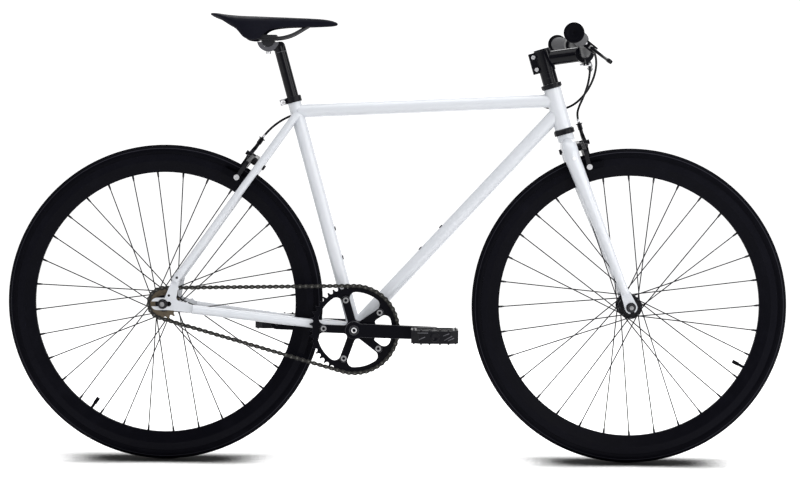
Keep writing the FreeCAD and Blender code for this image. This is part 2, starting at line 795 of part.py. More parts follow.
def stay_bridges():
    """Brake bridge between the seat stays and the short bridge behind the bottom bracket."""
    point = brake_bridge_point()
    outward = stay_side_run().cross(Y_AXIS)
    half = across(SEAT_STAY_FOOT.y)
    upper = rod(point - half, point + half, BRIDGE_DIAMETER)
    reach = outward * BRIDGE_DIAMETER
    hole = rod(point - reach, point + reach, BRAKE_BOLT_DIAMETER + 2 * FIT_GAP)
    stay = rod(SEAT_STAY_FOOT, SEAT_STAY_TOP, SEAT_STAY_DIAMETER)
    upper = cut_all(upper, [stay, mirror(stay), hole])
    route = chain_stay_route()
    run = Vector(route[1] - route[0])
    run.y = 0
    run.normalize()
    back = BB + run * CHAIN_STAY_BRIDGE_BACK
    lower = rod(back - across(CHAIN_STAY_ROOT_Y), back + across(CHAIN_STAY_ROOT_Y), BRIDGE_DIAMETER)
    bar, length, radius = swept_rod(route, CHAIN_STAY_DIAMETER, STAY_RUN_SHARE)
    return group([upper, cut_all(lower, [bar, mirror(bar)])])


def guide_axis_y():
    return TOP_TUBE_DIAMETER / 2 + GUIDE_STAND_OFF


def guide_places():
    """Middles of the three cable guides on the left of the top tube."""
    shares = (0.12, 0.5, 0.86)
    return [TOP_TUBE_REAR + (TOP_TUBE_FRONT - TOP_TUBE_REAR) * share + across(guide_axis_y())
            for share in shares]


def cable_guides():
    guides = []
    for place in guide_places():
        half = TOP_TUBE_RUN * (GUIDE_LENGTH / 2)
        guides.append(ring(place - half, place + half, GUIDE_DIAMETER, GUIDE_SEAT).cut(top_bar()))
    return group(guides)


def headset_cups():
    """Lower and upper cups with a sleeve in the head tube, and a bearing in each."""
    sleeve = HEAD_TUBE_DIAMETER / 2 - TUBE_WALL - FIT_GAP
    bore = STEERER_DIAMETER / 2 + 2 * RUNNING_GAP
    outer = HEADSET_DIAMETER / 2
    pocket = HEADSET_BEARING_OUTER / 2
    pieces = []
    for face, up, height in ((HEAD_FOOT, -STEER_UP, LOWER_CUP_HEIGHT), (HEAD_TOP, STEER_UP, UPPER_CUP_HEIGHT)):
        profile = ((sleeve, -CUP_INSERT), (sleeve, 0), (outer - CUP_CHAMFER, 0), (outer, CUP_CHAMFER),
                   (outer, height), (pocket, height), (pocket, height - HEADSET_BEARING_HEIGHT),
                   (bore, height - HEADSET_BEARING_HEIGHT), (bore, -CUP_INSERT))
        pieces.append(revolved(profile, on_steering(face), up))
        top = on_steering(face) + up * height
        foot = top - up * HEADSET_BEARING_HEIGHT
        pieces.append(ring(foot, top, HEADSET_BEARING_OUTER - 2 * FIT_GAP, STEERER_DIAMETER + 2 * BEARING_GAP))
    return group(pieces)


def seat_clamp():
    """Collar round the top of the seat tube, with two ears and a bolt behind."""
    foot = on_seat_tube(SEAT_TUBE_LENGTH - SEAT_CLAMP_OVERLAP)
    top = foot + SEAT_UP * SEAT_CLAMP_HEIGHT
    outer = SEAT_TUBE_DIAMETER + 2 * SEAT_CLAMP_WALL
    collar = rod(foot, top, outer)
    ear = Part.makeBox(outer / 2 + SEAT_CLAMP_EAR, SEAT_CLAMP_EAR_WIDTH, SEAT_CLAMP_HEIGHT,
                       Vector(0, -SEAT_CLAMP_EAR_WIDTH / 2, -SEAT_CLAMP_HEIGHT))
    ear = placed(ear, local_frame(foot, SEAT_BACK, Y_AXIS))
    slot = Part.makeBox(outer + SEAT_CLAMP_EAR, SEAT_CLAMP_SLOT, SEAT_CLAMP_HEIGHT,
                        Vector(0, -SEAT_CLAMP_SLOT / 2, -SEAT_CLAMP_HEIGHT))
    slot = placed(slot, local_frame(foot, SEAT_BACK, Y_AXIS))
    bolt_axis = foot + SEAT_UP * (SEAT_CLAMP_HEIGHT / 2) + SEAT_BACK * (outer / 2 + SEAT_CLAMP_EAR / 2)
    bolt_head = bolt_axis - across(SEAT_CLAMP_EAR_WIDTH / 2 + BOLT_HEAD_HEIGHT)
    bolt = socket_bolt(bolt_head, Y_AXIS, SEAT_CLAMP_EAR_WIDTH + BOLT_HEAD_HEIGHT)
    tube_hole = rod(foot, on_seat_tube(SEAT_TUBE_LENGTH), SEAT_TUBE_DIAMETER)
    post_hole = rod(foot, top, SEATPOST_DIAMETER + 2 * RUNNING_GAP)
    body = fuse_all([collar, ear])
    return group([cut_all(body, [slot, tube_hole, post_hole, bolt]), bolt])


def bottom_bracket_cartridge():
    """Threaded sleeve with a cup at each end and a bearing inside each cup."""
    half = BB_SHELL_WIDTH / 2
    sleeve = ring(BB - across(half), BB + across(half), BB_SHELL_BORE - 2 * FIT_GAP, CARTRIDGE_BORE)
    pieces = [sleeve]
    bearings = []
    for side in (-1, 1):
        face = BB + across(side * half)
        pieces.append(ring(face, face + across(side * CUP_FLANGE), CUP_FLANGE_DIAMETER, CARTRIDGE_BORE))
        bearings.append(ring(face - across(side * CARTRIDGE_BEARING_WIDTH), face, CARTRIDGE_BORE,
                             SPINDLE_DIAMETER + 2 * BEARING_GAP))
    return group([fuse_all(pieces)] + bearings)


# Axles

def wheel_axle(centre, spacing, end_thickness, diameter, hub_end):
    """Threaded axle with a lock nut, washer and hexagon nut on each side."""
    reach = spacing / 2 + end_thickness + AXLE_PROUD
    pieces = [rod(centre - across(reach), centre + across(reach), diameter)]
    for side in (-1, 1):
        inner = centre + across(side * (hub_end + RUNNING_GAP))
        face = centre + across(side * spacing / 2)
        outside = face + across(side * end_thickness)
        washer = outside + across(side * AXLE_WASHER_THICKNESS)
        nut = hex_bar(washer, washer + across(side * AXLE_NUT_HEIGHT), AXLE_NUT_ACROSS)
        pieces.append(ring(inner, face, LOCKNUT_DIAMETER, diameter))
        pieces.append(ring(outside, washer, AXLE_WASHER_DIAMETER, diameter))
        pieces.append(nut.cut(pieces[0]))
    return group(pieces)


FRONT_HUB_END = FRONT_FLANGE_Y + HUB_FLANGE_THICKNESS / 2 + FRONT_HUB_END_LENGTH
REAR_HUB_END = REAR_FLANGE_Y + HUB_FLANGE_THICKNESS / 2 + REAR_HUB_END_LENGTH


def front_axle():
    return wheel_axle(FRONT_AXLE, FORK_SPACING, FORK_END_THICKNESS, FRONT_AXLE_DIAMETER, FRONT_HUB_END)


def rear_axle():
    return wheel_axle(REAR_AXLE, DROPOUT_SPACING, DROPOUT_THICKNESS, REAR_AXLE_DIAMETER, REAR_HUB_END)


# Fork

def crown_leg():
    """Left half of the crown: a bent tube from the steerer down to the blade."""
    top = FORK_LENGTH - CROWN_BELOW_RACE
    route = [on_steering(top),
             on_steering(top - CROWN_SHOULDER_DROP, 0, CROWN_SHOULDER_Y),
             on_steering(top - CROWN_KNEE_DROP, 0, CROWN_KNEE_Y),
             on_steering(top - CROWN_FOOT_DROP, 0, CROWN_FOOT_Y)]
    leg, length, radius = swept_rod(route, CROWN_DIAMETER, CORD_RUN_SHARE)
    return leg


def fork_crown():
    leg = crown_leg()
    race = rod(on_steering(FORK_LENGTH - CROWN_RACE_HEIGHT), on_steering(FORK_LENGTH), CROWN_RACE_DIAMETER)
    bolt_reach = CROWN_DIAMETER
    hole = rod(on_steering(BRAKE_FRONT_HEIGHT, -bolt_reach), on_steering(BRAKE_FRONT_HEIGHT, bolt_reach),
               BRAKE_BOLT_DIAMETER + 2 * FIT_GAP)
    return cut_all(leg.fuse(mirror(leg)).fuse(race), [hole])


def fork_steerer():
    """Steerer tube on its crown, in one piece."""
    steerer = tube(on_steering(FORK_LENGTH), on_steering(STEM_TOP), STEERER_DIAMETER, STEERER_WALL)
    return cut_all(fork_crown().fuse(steerer), [])


def fork_blade():
    """Left blade: a tapered tube with its fork end brazed in."""
    drop_share = BLADE_FOOT_ABOVE / (FORK_LENGTH - CROWN_BELOW_RACE - CROWN_FOOT_DROP)
    end_y = FORK_SPACING / 2 + FORK_END_THICKNESS / 2
    foot = on_steering(BLADE_FOOT_ABOVE, FORK_RAKE * (1 - drop_share), end_y)
    top = on_steering(FORK_LENGTH - CROWN_BELOW_RACE - CROWN_FOOT_DROP, 0, CROWN_FOOT_Y)
    run = Vector(foot - top).normalize()
    start = top - run * (CROWN_DIAMETER / 4)
    length = (foot - start).Length
    outer = Part.makeCone(BLADE_TOP_DIAMETER / 2, BLADE_FOOT_DIAMETER / 2, length, start, run)
    bore = Part.makeCone(BLADE_TOP_DIAMETER / 2 - BLADE_WALL, BLADE_FOOT_DIAMETER / 2 - BLADE_WALL,
                         length - FORK_END_INSERT, start, run)
    blade = cut_all(outer, [bore, fork_crown()])
    end = fork_end(foot - run * FORK_END_INSERT)
    return cut_all(blade.fuse(end), [])


def fork_end(upper):
    """Left fork end: a plate from the blade to the axle, with its slot open below."""
    face = FORK_SPACING / 2 + FORK_END_THICKNESS
    frame = local_frame(FRONT_AXLE + across(face), STEER_FORWARD, STEER_UP)
    tip = Vector((upper - FRONT_AXLE).dot(STEER_FORWARD), (upper - FRONT_AXLE).dot(STEER_UP), 0)
    plate = strip_plate(Vector(0, 0, 0), tip, 2 * FORK_END_RADIUS, BLADE_FOOT_DIAMETER, FORK_END_THICKNESS)
    slot = strip_plate(Vector(0, -FORK_END_RADIUS - OVERRUN, 0), Vector(0, 0, 0), FORK_END_SLOT, FORK_END_SLOT,
                       FORK_END_THICKNESS)
    return placed(plate.cut(slot), frame)


def headset_spacers():
    """Spacer rings under the stem, and the top cap with its bolt head."""
    pieces = []
    foot = SPACER_FOOT
    for height in SPACER_HEIGHTS:
        pieces.append(ring(on_steering(foot), on_steering(foot + height), SPACER_DIAMETER, STEERER_DIAMETER))
        foot += height
    cap = rod(on_steering(STEM_TOP), on_steering(STEM_TOP + TOP_CAP_HEIGHT), STEM_CLAMP_DIAMETER - CUP_CHAMFER)
    socket = hex_bar(on_steering(STEM_TOP + TOP_CAP_HEIGHT - BOLT_HEX_DEPTH),
                     on_steering(STEM_TOP + TOP_CAP_HEIGHT), BOLT_HEX)
    pieces.append(cap.cut(socket))
    return group(pieces)


# Stem, bar and grips

STEM_ROOT = on_steering(STEM_FOOT + STEM_AXIS_HEIGHT)
STEM_RUN = Vector(math.cos(math.radians(STEM_RISE_DEG)), 0, math.sin(math.radians(STEM_RISE_DEG)))
STEM_NORMAL = STEM_RUN.cross(Y_AXIS)
BAR_CENTRE = STEM_ROOT + STEM_RUN * STEM_LENGTH


def stem_frame():
    """Local X along the extension, Y to the left, at the middle of the bar."""
    return local_frame(BAR_CENTRE, STEM_RUN, Y_AXIS)


def faceplate_bolts():
    """Four bolts that hold the faceplate, two above and two below the bar."""
    bolts = []
    for up in (-1, 1):
        for side in (-1, 1):
            ear = BAR_CENTRE + STEM_NORMAL * (up * (BAR_CLAMP_DIAMETER / 2 + FACEPLATE_EAR / 4))
            head = ear + STEM_RUN * FACEPLATE_EAR + across(side * FACEPLATE_EAR_WIDTH)
            bolts.append(socket_bolt(head, -STEM_RUN, 2 * FACEPLATE_EAR))
    return bolts


def pinch_bolts():
    """Two bolts across the back of the steerer clamp."""
    bolts = []
    back = -STEER_FORWARD * (STEM_CLAMP_DIAMETER / 2 + STEM_BACK / 2 - BOLT_DIAMETER / 2)
    for share in (0.2, 0.8):
        axis = on_steering(STEM_FOOT + STEM_CLAMP_HEIGHT * share) + back
        bolts.append(socket_bolt(axis - across(STEM_BACK_WIDTH / 2 + BOLT_HEAD_HEIGHT), Y_AXIS,
                                 STEM_BACK_WIDTH + BOLT_HEAD_HEIGHT))
    return bolts


def bar_clamp_block():
    """Barrel round the bar with an ear above and below, before it is split."""
    half = across(BAR_CLAMP_WIDTH / 2)
    barrel = rod(BAR_CENTRE - half, BAR_CENTRE + half, BAR_CLAMP_DIAMETER)
    height = BAR_CLAMP_DIAMETER + FACEPLATE_EAR
    ears = Part.makeBox(FACEPLATE_EAR, BAR_CLAMP_WIDTH, height,
                        Vector(-FACEPLATE_EAR / 2, -BAR_CLAMP_WIDTH / 2, -height / 2))
    return fuse_all([barrel, placed(ears, stem_frame())])


def clamp_split():
    """Half space box in front of the split through the bar clamp."""
    size = 2 * BAR_CLAMP_DIAMETER
    return placed(Part.makeBox(size, size, size, Vector(0, -size / 2, -size / 2)), stem_frame())


def stem():
    clamp = rod(on_steering(STEM_FOOT), on_steering(STEM_TOP), STEM_CLAMP_DIAMETER)
    extension = rod(STEM_ROOT, BAR_CENTRE, STEM_EXTENSION_DIAMETER)
    back = Part.makeBox(STEM_CLAMP_DIAMETER / 2 + STEM_BACK, STEM_BACK_WIDTH, STEM_CLAMP_HEIGHT,
                        Vector(0, -STEM_BACK_WIDTH / 2, -STEM_CLAMP_HEIGHT))
    back = placed(back, local_frame(on_steering(STEM_FOOT), -STEER_FORWARD, Y_AXIS))
    slot = Part.makeBox(2 * STEM_CLAMP_DIAMETER, BAR_CLAMP_SPLIT, STEM_CLAMP_HEIGHT,
                        Vector(0, -BAR_CLAMP_SPLIT / 2, -STEM_CLAMP_HEIGHT))
    slot = placed(slot, local_frame(on_steering(STEM_FOOT), -STEER_FORWARD, Y_AXIS))
    rear_block = bar_clamp_block().cut(clamp_split())
    body = fuse_all([clamp, extension, back, rear_block])
    steerer = rod(on_steering(STEM_FOOT), on_steering(STEM_TOP), STEERER_DIAMETER)
    front = placed(clamp_split(), FreeCAD.Placement(STEM_RUN * -BAR_CLAMP_SPLIT, FreeCAD.Rotation()))
    half = across(BAR_CLAMP_WIDTH)
    bar = rod(BAR_CENTRE - half, BAR_CENTRE + half, BAR_CENTRE_DIAMETER)
    return cut_all(body, [steerer, slot, bar, front] + faceplate_bolts() + pinch_bolts())


def stem_faceplate():
    half = across(BAR_CLAMP_WIDTH)
    bar = rod(BAR_CENTRE - half, BAR_CENTRE + half, BAR_CENTRE_DIAMETER)
    plate = bar_clamp_block().common(clamp_split())
    return cut_all(plate, [bar] + faceplate_bolts())


def stem_bolts():
    return group(faceplate_bolts() + pinch_bolts())


def bar_route():
    """Points of the bar from the right end to the left end."""
    knee = Vector(-BAR_KNEE_SWEEP, BAR_KNEE_Y, BAR_KNEE_RISE)
    end = Vector(-BAR_SWEEP, BAR_HALF_WIDTH, BAR_RISE)
    left = [BAR_CENTRE + offset for offset in (across(BAR_FLAT_Y), knee, end)]
    right = [Vector(point.x, -point.y, point.z) for point in reversed(left)]
    return right + left


BAR_END = bar_route()[-1]
BAR_END_RUN = Vector(bar_route()[-1] - bar_route()[-2]).normalize()


def handlebar():
    route = bar_route()
    bar, length, radius = swept_rod(route, BAR_DIAMETER, BAR_RUN_SHARE)
    bore, length, radius = swept_rod(route, BAR_DIAMETER - 2 * BAR_WALL, BAR_RUN_SHARE)
    half = BAR_SLEEVE_WIDTH / 2
    flat = half - BAR_SLEEVE_TAPER
    inner = BAR_DIAMETER / 2 - BAR_WALL / 2
    profile = ((inner, -half), (BAR_CENTRE_DIAMETER / 2, -flat), (BAR_CENTRE_DIAMETER / 2, flat), (inner, half))
    sleeve = revolved(profile, BAR_CENTRE, Y_AXIS)
    return cut_all(bar.fuse(sleeve), [bore])


def grip():
    """Left grip: ribbed sleeve with a flange and a closed end."""
    inner = BAR_DIAMETER / 2 + FIT_GAP
    high = GRIP_DIAMETER / 2
    low = high - GRIP_RIB_DEPTH
    ribbed = GRIP_LENGTH - GRIP_FLANGE
    step = ribbed / (2 * GRIP_RIBS)
    profile = [(inner, GRIP_LENGTH), (inner, 0)]
    for rib in range(GRIP_RIBS):
        start = rib * 2 * step
        profile += [(high, start), (high, start + step), (low, start + step), (low, start + 2 * step)]
    flange = GRIP_FLANGE_DIAMETER / 2
    end = GRIP_LENGTH + GRIP_END_CAP
    profile += [(flange, ribbed), (flange, end - CUP_CHAMFER), (flange - CUP_CHAMFER, end), (0, end),
                (0, GRIP_LENGTH)]
    return revolved(profile, BAR_END - BAR_END_RUN * GRIP_LENGTH, BAR_END_RUN)


# Brake levers

def lever_frame():
    """Left lever: local X outboard along the bar, Y forward and down to the pivot."""
    place = BAR_END - BAR_END_RUN * (GRIP_LENGTH + LEVER_CLAMP_GAP_FROM_GRIP + LEVER_CLAMP_WIDTH / 2)
    drop = math.radians(LEVER_DROP_DEG)
    reach = Vector(math.cos(drop), 0, -math.sin(drop))
    reach = reach - BAR_END_RUN * reach.dot(BAR_END_RUN)
    return local_frame(place, BAR_END_RUN, reach)


def lever_pivot_pin(diameter):
    half = LEVER_THICKNESS / 2 + RUNNING_GAP + LEVER_FORK_WALL
    return rod(Vector(0, LEVER_PIVOT_REACH, -half), Vector(0, LEVER_PIVOT_REACH, half), diameter)


def lever_bracket():
    """Clamp round the bar with a forked body, the pivot pin and the cable adjuster."""
    half = LEVER_CLAMP_WIDTH / 2
    bar_radius = BAR_DIAMETER / 2 + FIT_GAP
    outer = 2 * (bar_radius + LEVER_CLAMP_WALL)
    clamp = rod(Vector(-half, 0, 0), Vector(half, 0, 0), outer)
    fork_half = LEVER_THICKNESS / 2 + RUNNING_GAP
    depth = 2 * (fork_half + LEVER_FORK_WALL)
    body_end = LEVER_PIVOT_REACH - LEVER_EYE_DIAMETER / 2 - RUNNING_GAP
    body = Part.makeBox(LEVER_CLAMP_WIDTH, body_end, depth, Vector(-half, 0, -depth / 2))
    walls = []
    for foot in (-depth / 2, fork_half):
        wall = strip_plate(Vector(0, body_end / 2, foot), Vector(0, LEVER_PIVOT_REACH, foot),
                           LEVER_EYE_DIAMETER, LEVER_EYE_DIAMETER, LEVER_FORK_WALL)
        walls.append(wall)
    barrel_y = LEVER_BARREL_OFFSET
    barrel = rod(Vector(-half - LEVER_BARREL_LENGTH, barrel_y, 0), Vector(0, barrel_y, 0), LEVER_BARREL_DIAMETER)
    solid = fuse_all([clamp, body, barrel, lever_pivot_pin(LEVER_PIVOT_DIAMETER)] + walls)
    bar = rod(Vector(-2 * half, 0, 0), Vector(2 * half, 0, 0), 2 * bar_radius)
    return placed(cut_all(solid, [bar]), lever_frame())


def brake_lever():
    """Left lever blade with its eye on the pivot pin."""
    foot = -LEVER_THICKNESS / 2
    pivot = Vector(0, LEVER_PIVOT_REACH, foot)
    elbow = Vector(LEVER_ELBOW_OUT, LEVER_ELBOW_REACH, foot)
    tip = Vector(LEVER_LENGTH, LEVER_TIP_REACH, foot)
    root = strip_plate(pivot, elbow, LEVER_EYE_DIAMETER, LEVER_BLADE_WIDTH, LEVER_THICKNESS)
    blade = strip_plate(elbow, tip, LEVER_BLADE_WIDTH, LEVER_BLADE_WIDTH, LEVER_THICKNESS)
    hole = lever_pivot_pin(LEVER_PIVOT_DIAMETER + 2 * BEARING_GAP)
    return placed(cut_all(fuse_all([root, blade]), [hole]), lever_frame())


# Wheels

def section_point(centre, radius, y):
    """Point of a wheel's cross-section, straight above its axle."""
    return centre + Vector(0, y, radius)


def section_box(centre, inner, outer, half_width):
    """Rectangle of a wheel's cross-section."""
    corners = [section_point(centre, radius, y) for radius, y in (
        (inner, -half_width), (outer, -half_width), (outer, half_width), (inner, half_width))]
    return Part.Face(Part.makePolygon(corners + [corners[0]]))


def section_disc(centre, radius, disc_radius):
    circle = Part.makeCircle(disc_radius, section_point(centre, radius, 0), Vector(1, 0, 0))
    return Part.Face(Part.Wire(circle))


def spun(face, centre):
    return face.revolve(centre, Y_AXIS, 360)


TYRE_CORE_RADIUS = TYRE_RADIUS - TYRE_WIDTH / 2
TYRE_CAVITY_RADIUS = TYRE_WIDTH / 2 - TYRE_WALL


def tyre(centre):
    """Tyre: a round carcass with two beads that stand inside the rim."""
    seat = RIM_OUTER_RADIUS + FIT_GAP
    below = section_box(centre, RIM_INNER_RADIUS, seat, TYRE_WIDTH)
    carcass = section_disc(centre, TYRE_CORE_RADIUS, TYRE_WIDTH / 2).cut(below)
    beads = section_box(centre, RIM_OUTER_RADIUS - TYRE_BEAD_DEPTH, TYRE_CORE_RADIUS,
                        RIM_CHANNEL_WIDTH / 2 - FIT_GAP)
    mouth = section_box(centre, RIM_INNER_RADIUS, TYRE_CORE_RADIUS, TYRE_MOUTH / 2)
    face = carcass.fuse(beads).cut(section_disc(centre, TYRE_CORE_RADIUS, TYRE_CAVITY_RADIUS)).cut(mouth)
    return cut_all(spun(face.removeSplitter().Faces[0], centre), [])


def valve_rod(centre, degrees, inner, outer, diameter):
    """Bar on the valve's radius, clockwise from the top as seen from the chain side."""
    angle = math.radians(degrees)
    out = Vector(math.sin(angle), 0, math.cos(angle))
    return rod(centre + out * inner, centre + out * outer, diameter)


def inner_tube(centre, valve_degrees):
    """Inflated inner tube with its valve through the rim and the cap on it."""
    body = spun(section_disc(centre, TYRE_CORE_RADIUS, TYRE_CAVITY_RADIUS - INNER_TUBE_GAP), centre)
    tip = RIM_INNER_RADIUS - VALVE_PROUD
    stem_rod = valve_rod(centre, valve_degrees, tip, TYRE_CORE_RADIUS, VALVE_DIAMETER)
    cap = valve_rod(centre, valve_degrees, tip, tip + VALVE_CAP_LENGTH, VALVE_CAP_DIAMETER)
    return body.fuse(stem_rod).fuse(cap)


def rim(centre, valve_degrees):
    """Deep hollow rim with brake tracks, a tyre channel and a valve hole."""
    half = RIM_WIDTH / 2
    bed = RIM_BED_WIDTH / 2
    track = RIM_OUTER_RADIUS - RIM_TRACK_DEPTH
    floor = RIM_OUTER_RADIUS - RIM_CHANNEL_DEPTH
    outline = ((RIM_OUTER_RADIUS, half), (track, half), (RIM_INNER_RADIUS, bed))
    hollow = ((floor - RIM_FLOOR, half - RIM_WALL), (track, half - RIM_WALL),
              (RIM_INNER_RADIUS + RIM_BED, bed - RIM_WALL / 2))
    faces = []
    for profile in (outline, hollow):
        corners = [section_point(centre, radius, y) for radius, y in profile]
        corners += [section_point(centre, radius, -y) for radius, y in reversed(profile)]
        faces.append(Part.Face(Part.makePolygon(corners + [corners[0]])))
    channel = section_box(centre, floor, RIM_OUTER_RADIUS + OVERRUN, RIM_CHANNEL_WIDTH / 2)
    face = faces[0].cut(faces[1]).cut(channel)
    hole = valve_rod(centre, valve_degrees, RIM_INNER_RADIUS - OVERRUN, RIM_OUTER_RADIUS, VALVE_HOLE)
    return cut_all(spun(face.Faces[0], centre), [hole])


def hub(centre, flange_y, hub_end, axle_diameter, end_diameter):
    """Hub shell with two flanges, and a cartridge bearing in each end."""
    inner_face = flange_y - HUB_FLANGE_THICKNESS / 2
    outer_face = flange_y + HUB_FLANGE_THICKNESS / 2
    pocket = hub_end - HUB_BEARING_WIDTH
    half = ((HUB_BARREL_DIAMETER / 2, 0), (HUB_BARREL_DIAMETER / 2, inner_face - HUB_BEARING_WIDTH),
            (end_diameter / 2, inner_face), (HUB_FLANGE_DIAMETER / 2, inner_face),
            (HUB_FLANGE_DIAMETER / 2, outer_face), (end_diameter / 2, outer_face), (end_diameter / 2, hub_end),
            (HUB_BEARING_OUTER / 2, hub_end), (HUB_BEARING_OUTER / 2, pocket), (HUB_BARREL_BORE / 2, pocket))
    profile = list(half) + [(radius, -height) for radius, height in reversed(half[1:])]
    pieces = [revolved(profile, centre, Y_AXIS)]
    for side in (-1, 1):
        pieces.append(ring(centre + across(side * pocket), centre + across(side * hub_end),
                           HUB_BEARING_OUTER - 2 * FIT_GAP, axle_diameter + 2 * BEARING_GAP))
    return group(pieces)


def spokes(centre, flange_y, phase_degrees):
    """Three-cross lacing: alternate spokes of a flange lean forward and back."""
    step = 360 * 2 / SPOKES
    hub_radius = HUB_HOLE_CIRCLE / 2
    rim_radius = RIM_INNER_RADIUS - RUNNING_GAP
    beside = HUB_FLANGE_THICKNESS / 2 + SPOKE_DIAMETER / 2 + FIT_GAP
    edge_lift = SPOKE_DIAMETER / 2
    bars = []
    for side in (-1, 1):
        shift = step / 2 if side > 0 else 0
        for hole in range(SPOKES // 2):
            lean = 1 if hole % 2 else -1
            hub_y = flange_y + (beside + edge_lift if lean > 0 else -beside)
            rim_angle = math.radians(phase_degrees + shift + hole * step)
            hub_angle = rim_angle - lean * math.radians(SPOKE_SWING_DEG)
            start = centre + Vector(hub_radius * math.sin(hub_angle), side * hub_y,
                                    hub_radius * math.cos(hub_angle))
            end = centre + Vector(rim_radius * math.sin(rim_angle), side * SPOKE_RIM_Y,
                                  rim_radius * math.cos(rim_angle))
            bars.append(rod(start, end, SPOKE_DIAMETER))
    return group(bars)


# Chain drive

CHAIN_ROLLERS = [REAR_AXLE + roller + across(-CHAIN_LINE) for roller in walk_chain(STAY_LENGTH)[0]]
CHAINRING_CENTRE = BB + across(-CHAIN_LINE)
COG_CENTRE = REAR_AXLE + across(-CHAIN_LINE)
SEAT_ARC_DEG = 58.0


def seated_roller(centre, radius):
    """A roller that stands on a sprocket's pitch circle, well inside its wrap."""
    seated = [roller for roller in CHAIN_ROLLERS
              if abs((roller - centre).Length - radius) < ROLLER_SEAT_GAP / 10]
    return seated[len(seated) // 2]


def sprocket_blank(centre, teeth):
    """Toothed disc: an arc under each roller and a flat-topped tooth between two."""
    radius = pitch_radius(teeth)
    first = seated_roller(centre, radius) - centre
    start_angle = math.atan2(first.z, first.x)
    step = 2 * math.pi / teeth
    seat = ROLLER_DIAMETER / 2 + ROLLER_SEAT_GAP
    half_arc = math.radians(SEAT_ARC_DEG)
    base = centre - across(TOOTH_THICKNESS / 2)

    def polar(angle, distance):
        return base + Vector(math.cos(angle) * distance, 0, math.sin(angle) * distance)

    edges = []
    for tooth in range(teeth):
        angle = start_angle + tooth * step
        roller = polar(angle, radius)
        inward = angle + math.pi
        entry, bottom, leave = [roller + Vector(math.cos(inward + turn), 0, math.sin(inward + turn)) * seat
                                for turn in (half_arc, 0, -half_arc)]
        tip_angle = angle + step / 2
        tip = polar(tip_angle, radius + TOOTH_ABOVE_PITCH)
        along = Vector(-math.sin(tip_angle), 0, math.cos(tip_angle)) * (TOOTH_TIP_WIDTH / 2)
        next_angle = angle + step
        next_inward = next_angle + math.pi + half_arc
        next_entry = polar(next_angle, radius) + Vector(math.cos(next_inward), 0, math.sin(next_inward)) * seat
        edges.append(Part.Arc(entry, bottom, leave).toShape())
        corners = (leave, tip - along, tip + along, next_entry)
        for begin, finish in zip(corners, corners[1:]):
            edges.append(Part.LineSegment(begin, finish).toShape())
    return Part.Face(Part.Wire(edges)).extrude(across(TOOTH_THICKNESS))


def rear_cog():
    """Fixed cog on the hub's thread, with the lock ring outside it."""
    blank = sprocket_blank(COG_CENTRE, COG_TEETH)
    shoulder = REAR_AXLE - across(REAR_FLANGE_Y + HUB_FLANGE_THICKNESS / 2)
    inner_face = COG_CENTRE + across(TOOTH_THICKNESS / 2)
    lip = rod(shoulder, inner_face, COG_THREAD_DIAMETER + 2 * COG_BORE_LIP)
    outer_face = COG_CENTRE - across(TOOTH_THICKNESS / 2)
    lockring = ring(outer_face, outer_face - across(LOCKRING_THICKNESS), LOCKRING_DIAMETER, COG_THREAD_DIAMETER)
    bore = rod(shoulder, outer_face, COG_THREAD_DIAMETER)
    return group([cut_all(blank.fuse(lip), [bore]), lockring])


def link_plate(height, thickness, y):
    """Waisted link plate with bevelled ends, on the run from one roller to the next."""
    half = height / 2
    bevel = half * (math.sqrt(2) - 1)
    waist = half * PLATE_WAIST_SHARE
    left, right = -half, CHAIN_PITCH + half
    under = [(left, -bevel), (-bevel, -half), (bevel, -half), (CHAIN_PITCH / 2, -waist),
             (CHAIN_PITCH - bevel, -half), (CHAIN_PITCH + bevel, -half), (right, -bevel)]
    points = under + [(x, -z) for x, z in reversed(under)]
    face = Part.Face(Part.makePolygon([Vector(x, y, z) for x, z in points + points[:1]]))
    return face.extrude(across(thickness))


def inner_link():
    """Two plates held apart by two rollers."""
    inside = CHAIN_INNER_WIDTH / 2
    plates = [link_plate(INNER_PLATE_HEIGHT, PLATE_THICKNESS, y) for y in (-inside - PLATE_THICKNESS, inside)]
    across_flats = ROLLER_DIAMETER * math.sqrt(3) / 2
    rollers = [hex_bar(Vector(x, -inside, 0), Vector(x, inside, 0), across_flats) for x in (0, CHAIN_PITCH)]
    return plates[0].multiFuse([plates[1]] + rollers)


def outer_link():
    """Two plates outside the inner links."""
    inside = CHAIN_INNER_WIDTH / 2 + PLATE_THICKNESS + PLATE_GAP
    sides = (-inside - PLATE_THICKNESS, inside)
    return group([link_plate(OUTER_PLATE_HEIGHT, PLATE_THICKNESS, y) for y in sides])


def chain():
    """Inner and outer links in turn, each laid from one roller to the next."""
    kinds = (inner_link(), outer_link())
    links = []
    for index, roller in enumerate(CHAIN_ROLLERS):
        run = CHAIN_ROLLERS[(index + 1) % CHAIN_LINKS] - roller
        links.append(placed(kinds[index % 2], local_frame(roller, run, Y_AXIS)))
    return group(links)


# Crankset

def crank_frame():
    """Right crank: local X along the arm and Z outwards, at the bottom bracket."""
    angle = math.radians(CRANK_ANGLE_DEG)
    return local_frame(BB, Vector(math.cos(angle), 0, math.sin(angle)),
                       Vector(-math.sin(angle), 0, math.cos(angle)))


def to_left_crank(shape):
    """Carry a piece of the right crank to the left crank, which points the other way."""
    turned = mirror(shape)
    turned.rotate(BB, Y_AXIS, 180)
    return turned


SPIDER_FACE = CHAIN_LINE + TOOTH_THICKNESS / 2
CRANK_OUTER = CRANK_INNER_Y + CRANK_THICKNESS
SPINDLE_END = CRANK_OUTER - SPINDLE_END_INSET


